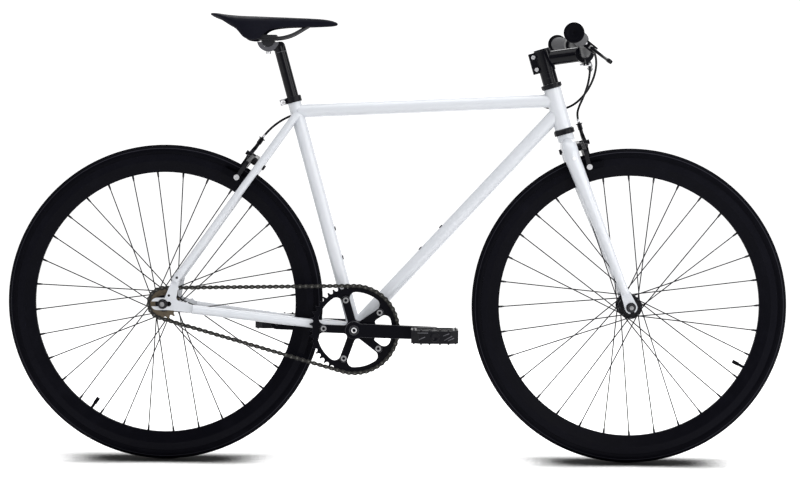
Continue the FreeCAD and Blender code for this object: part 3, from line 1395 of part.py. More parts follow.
def spider_places():
    """Middles of the chainring bolts, with none of them behind the crank arm."""
    turns = [math.pi * (2 * arm + 1) / SPIDER_ARMS for arm in range(SPIDER_ARMS)]
    return [Vector(math.cos(turn), math.sin(turn), 0) * BOLT_CIRCLE_RADIUS for turn in turns]


def bolt_bars(diameter, inner, outer):
    return [placed(rod(place + Vector(0, 0, inner), place + Vector(0, 0, outer), diameter), crank_frame())
            for place in spider_places()]


def square_end():
    """Tapered square on the right end of the spindle."""
    wires = []
    square_start = SPINDLE_END - SPINDLE_SQUARE_LENGTH
    for half, z in ((SPINDLE_SQUARE_ROOT / 2, square_start), (SPINDLE_SQUARE / 2, SPINDLE_END)):
        corners = [Vector(x * half, y * half, z) for x, y in ((-1, -1), (1, -1), (1, 1), (-1, 1))]
        wires.append(Part.makePolygon(corners + [corners[0]]))
    return placed(Part.makeLoft(wires, True, True), crank_frame())


def crank_spindle():
    reach = across(SPINDLE_END - SPINDLE_SQUARE_LENGTH)
    end = square_end()
    return fuse_all([rod(BB - reach, BB + reach, SPINDLE_DIAMETER), end, to_left_crank(end)])


def crank_cap():
    """Right crank bolt cap in its recess."""
    cap = rod(Vector(0, 0, SPINDLE_END + RUNNING_GAP), Vector(0, 0, CRANK_OUTER), CRANK_BOLT_DIAMETER)
    socket = hex_bar(Vector(0, 0, CRANK_OUTER - BOLT_HEX_DEPTH), Vector(0, 0, CRANK_OUTER), 2 * BOLT_HEX)
    return placed(cap.cut(socket), crank_frame())


def crank_bolts():
    """Five chainring bolts and the two crank bolts."""
    outer = SPIDER_FACE + SPIDER_THICKNESS
    inner = CHAIN_LINE - TOOTH_THICKNESS / 2
    shanks = bolt_bars(CHAINRING_BOLT_DIAMETER, inner, outer)
    heads = bolt_bars(CHAINRING_BOLT_HEAD, outer, outer + CHAINRING_BOLT_PROUD)
    nuts = bolt_bars(CHAINRING_BOLT_HEAD, inner - CHAINRING_BOLT_PROUD, inner)
    bolts = [fuse_all(list(pieces)) for pieces in zip(shanks, heads, nuts)]
    cap = crank_cap()
    return group(bolts + [cap, to_left_crank(cap)])


def pedal_axle():
    """Right pedal axle: a thread in the crank, a collar and the bearing shaft."""
    eye = Vector(CRANK_LENGTH, 0, 0)
    z = Vector(0, 0, 1)
    end = PEDAL_START_Y + PEDAL_WIDTH - PEDAL_END_WALL
    shaft = rod(eye + z * CRANK_INNER_Y, eye + z * end, PEDAL_AXLE_DIAMETER)
    collar = rod(eye + z * CRANK_OUTER, eye + z * (CRANK_OUTER + PEDAL_AXLE_COLLAR_LENGTH), PEDAL_AXLE_COLLAR)
    return placed(shaft.fuse(collar), crank_frame())


def crank_arm(boss_start):
    """Right arm with its boss on the spindle and its eye for the pedal."""
    foot = Vector(0, 0, CRANK_INNER_Y)
    boss = rod(Vector(0, 0, boss_start), Vector(0, 0, CRANK_OUTER), CRANK_BOSS_DIAMETER)
    arm = strip_plate(foot, foot + Vector(CRANK_LENGTH, 0, 0), CRANK_ROOT_WIDTH, CRANK_EYE_DIAMETER,
                      CRANK_THICKNESS)
    return fuse_all([boss, arm])


def finished_crank(blank):
    recess = rod(Vector(0, 0, SPINDLE_END), Vector(0, 0, CRANK_OUTER), CRANK_BOLT_DIAMETER)
    return cut_all(placed(blank, crank_frame()), [square_end(), placed(recess, crank_frame()), pedal_axle()])


def corner_edges(shape, radius):
    """Edges along Z that lie at one distance from the crank's axis."""
    found = []
    for edge in shape.Edges:
        first, last = edge.Vertexes[0].Point, edge.Vertexes[-1].Point
        upright = math.hypot(first.x - last.x, first.y - last.y) < EDGE_TOLERANCE
        if upright and abs(math.hypot(first.x, first.y) - radius) < EDGE_TOLERANCE:
            found.append(edge)
    return found


def spider_windows():
    """Rounded triangles between the spider's arms; the crank arm's root fills part of the first."""
    inner = CHAIN_LINE - TOOTH_THICKNESS / 2 - OVERRUN / 2
    outer = SPIDER_FACE + SPIDER_THICKNESS
    foot, top = Vector(0, 0, inner), Vector(0, 0, outer)
    half_turn = math.pi / SPIDER_ARMS
    root = WINDOW_BAR_WIDTH / 2 / math.sin(half_turn)
    reach = 2 * CHAINRING_INNER_RADIUS
    along, aside = reach * math.cos(half_turn), reach * math.sin(half_turn)
    wedge = polygon_plate([Vector(root, 0, inner), Vector(root + along, -aside, inner),
                           Vector(root + along, aside, inner)], outer - inner)
    blank = wedge.common(rod(foot, top, 2 * CHAINRING_INNER_RADIUS))
    windows = []
    for arm in range(SPIDER_ARMS):
        window, near, corner = blank, root, WINDOW_ROOT_CORNER
        if arm == 0:
            window = blank.cut(rod(foot, top, 2 * SPIDER_WEB_RADIUS))
            near, corner = SPIDER_WEB_RADIUS, WINDOW_WEB_CORNER
        window = window.makeFillet(corner, corner_edges(window, near))
        window = window.makeFillet(WINDOW_CORNER, corner_edges(window, CHAINRING_INNER_RADIUS))
        window.rotate(Vector(0, 0, 0), Vector(0, 0, 1), math.degrees(2 * half_turn * arm))
        windows.append(window)
    return windows


def crank_arm_right():
    """Right arm, forged in one piece with the five-armed spider."""
    foot = Vector(0, 0, SPIDER_FACE)
    places = spider_places()
    web = polygon_plate([foot, foot + places[-1], foot + places[0]], SPIDER_THICKNESS)
    hub = rod(foot, foot + Vector(0, 0, SPIDER_THICKNESS), SPIDER_HUB_DIAMETER)
    spider = [hub, web]
    for place in places:
        spider.append(strip_plate(foot, foot + place, SPIDER_ARM_ROOT, SPIDER_ARM_TIP, SPIDER_THICKNESS))
    spider = cut_all(fuse_all(spider), spider_windows())
    arm = finished_crank(fuse_all([crank_arm(SPIDER_FACE), spider]))
    return cut_all(arm, bolt_bars(CHAINRING_BOLT_DIAMETER, SPIDER_FACE, SPIDER_FACE + SPIDER_THICKNESS))


def crank_arm_left():
    return to_left_crank(finished_crank(crank_arm(LEFT_CRANK_BOSS_Y)))


def chainring():
    """Toothed ring with a tab for each bolt, its windows in line with the spider's."""
    ends = across(TOOTH_THICKNESS / 2)
    blank = sprocket_blank(CHAINRING_CENTRE, CHAINRING_TEETH)
    hole_radius = BOLT_CIRCLE_RADIUS - CHAINRING_TAB_RADIUS
    hole = rod(CHAINRING_CENTRE - ends, CHAINRING_CENTRE + ends, 2 * hole_radius)
    windows = [placed(window, crank_frame()) for window in spider_windows()]
    inner = CHAIN_LINE - TOOTH_THICKNESS / 2
    return cut_all(blank, [hole] + windows + bolt_bars(CHAINRING_BOLT_DIAMETER, inner, SPIDER_FACE))


def pedal():
    """Right platform pedal: a chamfered frame round a barrel, with four windows."""
    half = PEDAL_LENGTH / 2
    near = PEDAL_START_Y
    far = PEDAL_START_Y + PEDAL_WIDTH
    corner = PEDAL_CORNER
    foot = -PEDAL_HEIGHT / 2
    outline = [(half, near + corner), (half, far - corner), (half - corner, far), (corner - half, far),
               (-half, far - corner), (-half, near + corner), (corner - half, near), (half - corner, near)]
    body = polygon_plate([Vector(x, y, foot) for x, y in outline], PEDAL_HEIGHT)
    barrel = rod(Vector(0, near, 0), Vector(0, far, 0), PEDAL_BARREL_DIAMETER)
    window = (PEDAL_WIDTH - 2 * PEDAL_END_WALL - PEDAL_RIB) / 2
    inside = half - PEDAL_RAIL
    windows = []
    for start in (near + PEDAL_END_WALL, near + PEDAL_END_WALL + window + PEDAL_RIB):
        windows.append(Part.makeBox(2 * inside, window, PEDAL_HEIGHT, Vector(-inside, start, foot)))
    bore = rod(Vector(0, near, 0), Vector(0, far - PEDAL_END_WALL + RUNNING_GAP, 0),
               PEDAL_AXLE_DIAMETER + 2 * BEARING_GAP)
    solid = fuse_all([cut_all(body, windows), barrel])
    angle = math.radians(CRANK_ANGLE_DEG)
    eye = BB + Vector(math.cos(angle), 0, math.sin(angle)) * CRANK_LENGTH
    return placed(cut_all(solid, [bore]), local_frame(eye, Vector(1, 0, 0), -Y_AXIS))


# Brake calipers: local X towards the cable's side, Y up, Z out along the centre bolt

FRONT_BRAKE = local_frame(on_steering(BRAKE_FRONT_HEIGHT, CROWN_DIAMETER / 2), Y_AXIS, STEER_UP)
BRIDGE_OUT = stay_side_run().cross(Y_AXIS)
REAR_BRAKE_OUT = BRIDGE_DIAMETER / 2 + BRAKE_REAR_STANDOFF
REAR_BRAKE = local_frame(brake_bridge_point() + BRIDGE_OUT * REAR_BRAKE_OUT, -Y_AXIS, stay_side_run())
BACK_ARM_Z = BRAKE_BRACKET_DEPTH + BRAKE_ARM_GAP
FRONT_ARM_Z = BACK_ARM_Z + BRAKE_ARM_DEPTH + BRAKE_ARM_GAP
BRAKE_FRONT_Z = FRONT_ARM_Z + BRAKE_ARM_DEPTH + BRAKE_ARM_GAP
BARREL_Z = FRONT_ARM_Z + BRAKE_ARM_DEPTH / 2


def brake_bracket(seat, back):
    """Centre bolt, its nuts and the plate that carries the side pivot."""
    side = Vector(BRAKE_SIDE_PIVOT_Y, BRAKE_SIDE_PIVOT_UP, 0)
    z = Vector(0, 0, 1)
    plate = strip_plate(Vector(0, 0, 0), side, BRAKE_EYE_DIAMETER, BRAKE_EYE_DIAMETER, BRAKE_BRACKET_DEPTH)
    spacer = cut_all(rod(z * -BRAKE_SPACER_BACK, z * BRAKE_BRACKET_DEPTH, BRAKE_SPACER_DIAMETER), [seat])
    bolt = rod(z * -(back + BRAKE_NUT_HEIGHT), z * (BACK_ARM_Z + BRAKE_ARM_DEPTH + BRAKE_ARM_GAP),
               BRAKE_BOLT_DIAMETER)
    pivot = rod(side, side + z * (BRAKE_FRONT_Z + BRAKE_NUT_HEIGHT), BRAKE_BOLT_DIAMETER)
    pivot_head = rod(side + z * BRAKE_FRONT_Z, side + z * (BRAKE_FRONT_Z + BRAKE_NUT_HEIGHT), BRAKE_NUT_ACROSS)
    collar = rod(side, side + z * (FRONT_ARM_Z - BRAKE_ARM_GAP), BRAKE_SPACER_DIAMETER)
    rear_nut = hex_bar(z * -(back + BRAKE_NUT_HEIGHT), z * -back, BRAKE_NUT_ACROSS)
    return fuse_all([plate, spacer, bolt, pivot, pivot_head, collar, rear_nut])


def pad_seat(frame, axle):
    """Local frame of a shoe: its middle on the brake track, its length along the rim."""
    place = frame.inverse().multVec(axle)
    middle = PAD_START + PAD_LENGTH / 2
    up = place.y + math.sqrt(PAD_TRACK_RADIUS ** 2 - (middle - place.z) ** 2)
    return local_frame(Vector(0, up, middle), Vector(1, 0, 0), Vector(0, up - place.y, middle - place.z))


def pad_holder(side, seat, arm_z):
    """Brake shoe with its stud and nut through the arm."""
    up = seat.Base.y
    face = RIM_WIDTH / 2 + BRAKE_RETURN_GAP
    low = face if side > 0 else -face - PAD_THICKNESS
    shoe = Part.makeBox(PAD_THICKNESS, PAD_HEIGHT, PAD_LENGTH, Vector(low, -PAD_HEIGHT / 2, -PAD_LENGTH / 2))
    shoe = placed(shoe, seat)
    z = arm_z + BRAKE_ARM_DEPTH / 2
    outer = BRAKE_FOOT_Y + BRAKE_ARM_WIDTH / 2
    stud = rod(Vector(side * face, up, z), Vector(side * (outer + PAD_NUT_HEIGHT), up, z), PAD_BOLT_DIAMETER)
    nut = rod(Vector(side * outer, up, z), Vector(side * (outer + PAD_NUT_HEIGHT), up, z), PAD_NUT_DIAMETER)
    return fuse_all([shoe, stud, nut])


def caliper_leg(eye, side, up, arm_z):
    """Curved leg from the pivot's eye round the tyre to the shoe."""
    z = Vector(0, 0, arm_z)
    shoulder = Vector(side * BRAKE_SHOULDER_Y, BRAKE_SHOULDER_UP, 0) + z
    foot = Vector(side * BRAKE_FOOT_Y, up, 0) + z
    return [strip_plate(eye + z, shoulder, BRAKE_EYE_DIAMETER, BRAKE_ARM_WIDTH, BRAKE_ARM_DEPTH),
            strip_plate(shoulder, foot, BRAKE_ARM_WIDTH, BRAKE_ARM_WIDTH, BRAKE_ARM_DEPTH)]


def centre_arm(seat):
    """Arm on the centre bolt: shoe on the right, cable anchor on the left."""
    up = seat.Base.y
    z = Vector(0, 0, BACK_ARM_Z)
    tail = Vector(BRAKE_CABLE_Y, BRAKE_ANCHOR_UP, 0) + z
    pieces = caliper_leg(Vector(0, 0, 0), -1, up, BACK_ARM_Z)
    low = Vector(BRAKE_SIDE_PIVOT_Y, BRAKE_SIDE_PIVOT_UP - BRAKE_SPACER_DIAMETER - BRAKE_ARM_WIDTH / 2, 0) + z
    pieces.append(strip_plate(z, low, BRAKE_EYE_DIAMETER, BRAKE_ARM_WIDTH, BRAKE_ARM_DEPTH))
    pieces.append(strip_plate(low, tail, BRAKE_ARM_WIDTH, BRAKE_ARM_WIDTH, BRAKE_ARM_DEPTH))
    anchor = rod(tail, tail + Vector(0, 0, BARREL_Z + BRAKE_ARM_DEPTH / 2 - BACK_ARM_Z), BRAKE_ANCHOR_DIAMETER)
    hole = rod(Vector(0, 0, 0), Vector(0, 0, BRAKE_FRONT_Z), BRAKE_BOLT_DIAMETER + 2 * BEARING_GAP)
    pad = pad_holder(-1, seat, BACK_ARM_Z)
    return group([cut_all(fuse_all(pieces + [anchor]), [hole, pad]), pad])


def side_arm(seat):
    """Arm on the side pivot: shoe on the left, cable stop and adjuster above."""
    up = seat.Base.y
    z = Vector(0, 0, FRONT_ARM_Z)
    eye = Vector(BRAKE_SIDE_PIVOT_Y, BRAKE_SIDE_PIVOT_UP, 0)
    stop = Vector(BRAKE_CABLE_Y, BRAKE_STOP_UP, 0)
    pieces = caliper_leg(eye, 1, up, FRONT_ARM_Z)
    pieces.append(strip_plate(eye + z, stop + z, BRAKE_EYE_DIAMETER, BRAKE_ARM_WIDTH, BRAKE_ARM_DEPTH))
    foot = Vector(BRAKE_CABLE_Y, BRAKE_STOP_UP - BRAKE_ARM_WIDTH / 2, BARREL_Z)
    top = Vector(BRAKE_CABLE_Y, BRAKE_BARREL_TOP, BARREL_Z)
    pieces.append(rod(foot, top, BRAKE_BARREL_DIAMETER))
    hole = rod(eye, eye + Vector(0, 0, BRAKE_FRONT_Z + BRAKE_NUT_HEIGHT), BRAKE_BOLT_DIAMETER + 2 * BEARING_GAP)
    pad = pad_holder(1, seat, FRONT_ARM_Z)
    return group([cut_all(fuse_all(pieces), [hole, pad]), pad])


def front_brake(shape):
    return placed(shape, FRONT_BRAKE)


def rear_brake(shape):
    """The rear caliper is turned about, so it is mirrored to keep its cable on the left."""
    return mirror(placed(shape, REAR_BRAKE))


def front_brake_bracket():
    seat = placed(fork_crown(), FRONT_BRAKE.inverse())
    return front_brake(brake_bracket(seat, CROWN_DIAMETER))


def rear_brake_bracket():
    seat = rod(Vector(-BRIDGE_DIAMETER, 0, -REAR_BRAKE_OUT), Vector(BRIDGE_DIAMETER, 0, -REAR_BRAKE_OUT),
               BRIDGE_DIAMETER)
    return rear_brake(brake_bracket(seat, REAR_BRAKE_OUT + BRIDGE_DIAMETER / 2))


# Cables: each route is a list of places chosen by hand between its two stops

def flipped(vector, side):
    return Vector(vector.x, side * vector.y, vector.z)


def lever_cable_start(side):
    """First two places of a cable, straight out of the lever's adjuster."""
    half = LEVER_CLAMP_WIDTH / 2
    end = lever_frame().multVec(Vector(-half - LEVER_BARREL_LENGTH, LEVER_BARREL_OFFSET, 0))
    return [flipped(end, side), flipped(end - BAR_END_RUN * CABLE_STRAIGHT, side)]


def caliper_cable_end(frame, side):
    """Last two places of a cable, straight into the caliper's adjuster."""
    end = Vector(BRAKE_CABLE_Y, BRAKE_BARREL_TOP + RUNNING_GAP, BARREL_Z)
    before = end + Vector(0, CABLE_STRAIGHT, 0)
    return [flipped(frame.multVec(place), side) for place in (before, end)]


def cable(name, points):
    solid, length, radius = swept_rod(points, CABLE_DIAMETER, CORD_RUN_SHARE)
    expected = math.pi * CABLE_DIAMETER ** 2 / 4 * length
    print(f"{name}: length {length:.1f}, least radius {radius:.1f}, "
          f"volume {solid.Volume:.0f} of {expected:.0f}")
    return solid


def front_brake_cable():
    route = [(404, 84, 880), (410, 66, 865), (411, 53, 841), (407, 47.5, 812), (397, 46, 783), (387, 46, 762)]
    middle = [Vector(*place) for place in route]
    return cable("front_brake_cable", lever_cable_start(1) + middle + caliper_cable_end(FRONT_BRAKE, 1))


def rear_brake_cable_loop():
    route = [(407, -83, 879), (415, -60, 864), (417, -37, 840), (410, -13, 811), (394, 11, 783),
             (371, 30, 762), (342, 37, 754), (312, 31, 760)]
    middle = [Vector(*place) for place in route]
    end = guide_places()[2] + TOP_TUBE_RUN * (GUIDE_LENGTH / 2)
    finish = [end + TOP_TUBE_RUN * CABLE_STRAIGHT, end]
    return cable("rear_brake_cable_loop", lever_cable_start(-1) + middle + finish)


def rear_brake_cable():
    """Housing from the front guide along the top tube, then down to the rear caliper."""
    route = [(-211, 24, 744), (-235, 33, 736), (-258, 42, 724)]
    middle = [Vector(*place) for place in route]
    start = guide_places()[2] + TOP_TUBE_RUN * (GUIDE_LENGTH / 2 - FIT_GAP)
    leave = guide_places()[0] - TOP_TUBE_RUN * (GUIDE_LENGTH / 2 + CABLE_STRAIGHT)
    return cable("rear_brake_cable", [start, leave] + middle + caliper_cable_end(REAR_BRAKE, -1))


# Seat

CRADLE = on_seat_tube(SEATPOST_TOP) + Vector(-CRADLE_X_BEHIND_POST, 0, CRADLE_RISE)
RAIL_Z = CRADLE.z + RAIL_ABOVE_CRADLE


def cradle_rod(diameter, width):
    return rod(CRADLE - across(width / 2), CRADLE + across(width / 2), diameter)


def saddle_bolt_rod(start_drop, end_drop, diameter):
    return rod(CRADLE - Vector(0, 0, start_drop), CRADLE - Vector(0, 0, end_drop), diameter)


def seatpost():
    """Post with a curved cradle behind its top, slotted for the saddle bolt."""
    foot = on_seat_tube(SEAT_TUBE_LENGTH - SEATPOST_INSERT)
    top = on_seat_tube(SEATPOST_TOP)
    post = rod(foot, top, SEATPOST_DIAMETER)
    bore = rod(foot, top - SEAT_UP * SEATPOST_DIAMETER, SEATPOST_DIAMETER - 2 * SEATPOST_WALL)
    size = 2 * CRADLE_OUTER_RADIUS
    tilt_room = CRADLE_OUTER_RADIUS * math.tan(math.radians(SADDLE_TILT_DEG)) + RUNNING_GAP
    upper = Part.makeBox(size, size, size, CRADLE - Vector(CRADLE_OUTER_RADIUS, CRADLE_OUTER_RADIUS, tilt_room))
    cradle = cradle_rod(2 * CRADLE_OUTER_RADIUS, CRADLE_WIDTH).cut(upper)
    slot_length = 3 * SADDLE_BOLT_DIAMETER
    slot_width = SADDLE_BOLT_DIAMETER + 2 * RUNNING_GAP
    slot = Part.makeBox(slot_length, slot_width, size,
                        CRADLE - Vector(slot_length / 2, slot_width / 2, size))
    seat = cradle_rod(2 * CRADLE_INNER_RADIUS, 2 * CRADLE_WIDTH)
    return cut_all(fuse_all([post, cradle]), [bore, seat, slot])


def rail_route():
    """Left rail, from its socket under the tail to its socket in the nose."""
    return [Vector(CRADLE.x - RAIL_TAIL_REACH, RAIL_TAIL_Y, RAIL_Z + RAIL_TAIL_RISE),
            Vector(CRADLE.x - RAIL_REAR_REACH, RAIL_CLAMP_Y, RAIL_Z),
            Vector(CRADLE.x + RAIL_FRONT_REACH, RAIL_CLAMP_Y, RAIL_Z),
            Vector(CRADLE.x + RAIL_NOSE_REACH, RAIL_NOSE_Y, RAIL_Z + RAIL_NOSE_RISE)]


def saddle_rails():
    rail, length, radius = swept_rod(rail_route(), RAIL_DIAMETER, STAY_RUN_SHARE)
    return both_sides(rail)


def saddle_clamp():
    """Lower jaw that turns in the cradle, upper jaw over the rails, and their bolt."""
    length = CLAMP_LENGTH
    width = 2 * CLAMP_HALF_WIDTH
    corner = CRADLE - Vector(length / 2, CLAMP_HALF_WIDTH, 0)
    lower_height = RAIL_ABOVE_CRADLE - RUNNING_GAP
    lower = Part.makeBox(length, width, lower_height, corner)
    upper_half = Part.makeBox(4 * CRADLE_OUTER_RADIUS, 4 * CRADLE_OUTER_RADIUS, CRADLE_OUTER_RADIUS,
                              CRADLE - Vector(2 * CRADLE_OUTER_RADIUS, 2 * CRADLE_OUTER_RADIUS, 0))
    drum = cradle_rod(2 * (CRADLE_INNER_RADIUS - RUNNING_GAP), CRADLE_WIDTH).cut(upper_half)
    upper = Part.makeBox(length, width, CLAMP_JAW, corner + Vector(0, 0, RAIL_ABOVE_CRADLE + RUNNING_GAP))
    top = RAIL_ABOVE_CRADLE + RUNNING_GAP + CLAMP_JAW
    head_top = CRADLE_OUTER_RADIUS + RUNNING_GAP
    bolt = saddle_bolt_rod(-top, head_top, SADDLE_BOLT_DIAMETER)
    head = saddle_bolt_rod(head_top, head_top + BOLT_HEAD_HEIGHT, SADDLE_BOLT_HEAD)
    rails = saddle_rails()
    bolt = bolt.fuse(head)
    lower_jaw = cut_all(fuse_all([lower, drum]), [rails, bolt])
    return group([lower_jaw, cut_all(upper, [rails, bolt]), bolt])


SADDLE_STATIONS_SHARES = (
    # along from the tail, half width, top and underside below the reference plane
    (0.00, 0.55, -0.09, 0.09),
    (0.12, 0.98, 0.00, 0.32),
    (0.25, 1.00, 0.03, 0.80),
    (0.33, 0.93, 0.04, 1.00),
    (0.42, 0.72, 0.05, 0.92),
    (0.48, 0.55, 0.06, 0.57),
    (0.65, 0.36, 0.08, 0.49),
    (0.86, 0.27, 0.14, 0.49),
    (0.97, 0.20, 0.23, 0.45),
    (1.00, 0.10, 0.33, 0.41))
SADDLE_HOLLOW_STATIONS = slice(2, 7)
SADDLE_EDGE_SHARE = 0.18
SADDLE_FLANK_SHARE = 0.9


def saddle_section(x, half_width, top, bottom):
    """Closed section of the saddle: a crown, two bowed flanks and a flat underside."""
    edge = top - (top - bottom) * SADDLE_EDGE_SHARE
    narrow = half_width * SADDLE_FLANK_SHARE
    middle = (edge + bottom) / 2
    left_low, right_low = Vector(x, narrow, bottom), Vector(x, -narrow, bottom)
    left_high, right_high = Vector(x, narrow, edge), Vector(x, -narrow, edge)
    return Part.Wire([
        Part.LineSegment(left_low, right_low).toShape(),
        Part.Arc(right_low, Vector(x, -half_width, middle), right_high).toShape(),
        Part.Arc(right_high, Vector(x, 0, top), left_high).toShape(),
        Part.Arc(left_high, Vector(x, half_width, middle), left_low).toShape()])


def saddle():
    """Padded saddle: a crowned body over a hollow that takes the rails and the clamp."""
    tail = CRADLE.x - SADDLE_TAIL_BEHIND_CRADLE
    reference = CRADLE.z + SADDLE_TOP_ABOVE_CRADLE
    sizes = []
    for along, width, top, bottom in SADDLE_STATIONS_SHARES:
        x = tail + along * SADDLE_LENGTH
        high = reference - top * SADDLE_SKIRT_DEPTH
        low = reference - bottom * SADDLE_SKIRT_DEPTH
        sizes.append((x, width * SADDLE_HALF_WIDTH, high, low))
    outer = [saddle_section(*size) for size in sizes]
    hollow = [saddle_section(x, half - SADDLE_SIDE, high - SADDLE_SHELL, low - OVERRUN)
              for x, half, high, low in sizes[SADDLE_HOLLOW_STATIONS]]
    body = Part.makeLoft(outer, True, True)
    inside = Part.makeLoft(hollow, True, True)
    return cut_all(body, [inside, saddle_rails()])


# All pieces by name

def pieces():
    """Every node of the bicycle with its solids."""
    front_pad = pad_seat(FRONT_BRAKE, FRONT_AXLE)
    rear_pad = pad_seat(REAR_BRAKE, REAR_AXLE)
    lever = brake_lever()
    right_pedal = pedal()
    right_axle = pedal_axle()
    return {
        "head_tube": head_tube(),
        "top_tube": top_tube(),
        "down_tube": down_tube(),
        "seat_tube": seat_tube(),
        "bottom_bracket_shell": bottom_bracket_shell(),
        "seat_stays": both_sides(seat_stay()),
        "chain_stays": both_sides(chain_stay()),
        "rear_dropouts": both_sides(dropout()),
        "stay_bridges": stay_bridges(),
        "bottle_bosses": bottle_bosses(),
        "cable_guides": cable_guides(),
        "headset_cups": headset_cups(),
        "seat_clamp": seat_clamp(),
        "bottom_bracket_cartridge": bottom_bracket_cartridge(),
        "rear_axle": rear_axle(),
        "rear_brake_bracket": rear_brake_bracket(),
        "rear_brake_cable": rear_brake_cable(),
        "chain": chain(),
        "fork_steerer": fork_steerer(),
        "fork_blades": both_sides(fork_blade()),
        "headset_spacers": headset_spacers(),
        "stem": stem(),
        "stem_faceplate": stem_faceplate(),
        "stem_bolts": stem_bolts(),
        "handlebar": handlebar(),
        "grips": both_sides(grip()),
        "brake_lever_brackets": both_sides(lever_bracket()),
        "front_axle": front_axle(),
        "front_brake_bracket": front_brake_bracket(),
        "front_brake_cable": front_brake_cable(),
        "rear_brake_cable_loop": rear_brake_cable_loop(),
        "front_tyre": tyre(FRONT_AXLE),
        "front_inner_tube": inner_tube(FRONT_AXLE, FRONT_VALVE_DEG),
        "front_rim": rim(FRONT_AXLE, FRONT_VALVE_DEG),
        "front_spokes": spokes(FRONT_AXLE, FRONT_FLANGE_Y, FRONT_SPOKE_PHASE_DEG),
        "front_hub": hub(FRONT_AXLE, FRONT_FLANGE_Y, FRONT_HUB_END, FRONT_AXLE_DIAMETER, HUB_END_DIAMETER),
        "rear_tyre": tyre(REAR_AXLE),
        "rear_inner_tube": inner_tube(REAR_AXLE, REAR_VALVE_DEG),
        "rear_rim": rim(REAR_AXLE, REAR_VALVE_DEG),
        "rear_spokes": spokes(REAR_AXLE, REAR_FLANGE_Y, REAR_SPOKE_PHASE_DEG),
        "rear_hub": hub(REAR_AXLE, REAR_FLANGE_Y, REAR_HUB_END, REAR_AXLE_DIAMETER, COG_THREAD_DIAMETER),
        "rear_cog": rear_cog(),
        "crank_spindle": crank_spindle(),
        "crank_arm_right": crank_arm_right(),
        "crank_arm_left": crank_arm_left(),
        "chainring": chainring(),
        "crank_bolts": crank_bolts(),
        "pedal_axles": group([right_axle, to_left_crank(right_axle)]),
        "pedal_right": right_pedal,
        "pedal_left": to_left_crank(right_pedal),
        "brake_lever_right": mirror(lever),
        "brake_lever_left": lever,
        "front_caliper_right": front_brake(centre_arm(front_pad)),
        "front_caliper_left": front_brake(side_arm(front_pad)),
        "rear_caliper_right": rear_brake(centre_arm(rear_pad)),
        "rear_caliper_left": rear_brake(side_arm(rear_pad)),
        "seatpost": seatpost(),
        "saddle_clamp": saddle_clamp(),
        "saddle_rails": saddle_rails(),
        "saddle": saddle(),
    }


def joint_places():
    """Points and directions that the moving pieces turn about."""
    side_pivot = Vector(BRAKE_SIDE_PIVOT_Y, BRAKE_SIDE_PIVOT_UP, 0)
    rear_side = REAR_BRAKE.multVec(side_pivot)
    out = Vector(0, 0, 1)
    bosses = {f"boss {index}": bar.CenterOfMass for index, bar in enumerate(boss_bars(BOSS_HOLE))}
    return {
        **bosses,
        "seat tube boss axis": -SEAT_BACK,
        "down tube boss axis": DOWN_TUBE_RUN.cross(Y_AXIS),
        "front axle": FRONT_AXLE,
        "rear axle": REAR_AXLE,
        "bottom bracket": BB,
        "steering": on_steering(HEAD_FOOT),
        "steering axis": STEER_UP,
        "seat axis": SEAT_UP,
        "cradle": CRADLE,
        "right pedal": crank_frame().multVec(Vector(CRANK_LENGTH, 0, 0)),
        "left lever pivot": lever_frame().multVec(Vector(0, LEVER_PIVOT_REACH, 0)),
        "left lever axis": lever_frame().Rotation.multVec(out),
        "front caliper": FRONT_BRAKE.Base,
        "front caliper axis": FRONT_BRAKE.Rotation.multVec(out),
        "front side pivot": FRONT_BRAKE.multVec(side_pivot),
        "rear caliper": REAR_BRAKE.Base,
        "rear caliper axis": REAR_BRAKE.Rotation.multVec(out),
        "rear side pivot": Vector(rear_side.x, -rear_side.y, rear_side.z),
        "front cable end": caliper_cable_end(FRONT_BRAKE, 1)[1],
        "rear cable end": caliper_cable_end(REAR_BRAKE, -1)[1],
    }


os.makedirs("parts", exist_ok=True)
for node, shape in pieces().items():
    if not shape.isValid():
        raise ValueError(f"{node} is not a valid solid")
    shape.exportStep(f"parts/{node}.step")
    print(f"{node}: {len(shape.Solids)} solids, {shape.Volume:.0f} mm3")
print(f"stay length {STAY_LENGTH:.2f}, bottom bracket at {BB.x:.1f}, {BB.z:.1f}")
for name, place in joint_places().items():
    print(f"{name}: {place.x:.4f}, {place.y:.4f}, {place.z:.4f}")
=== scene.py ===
"""Looks of a fixed gear bicycle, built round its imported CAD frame.

Metres, +X forward, +Z up, chain side at -Y.
"""
import json
import math

import bmesh
import bpy
from mathutils import Matrix, Vector


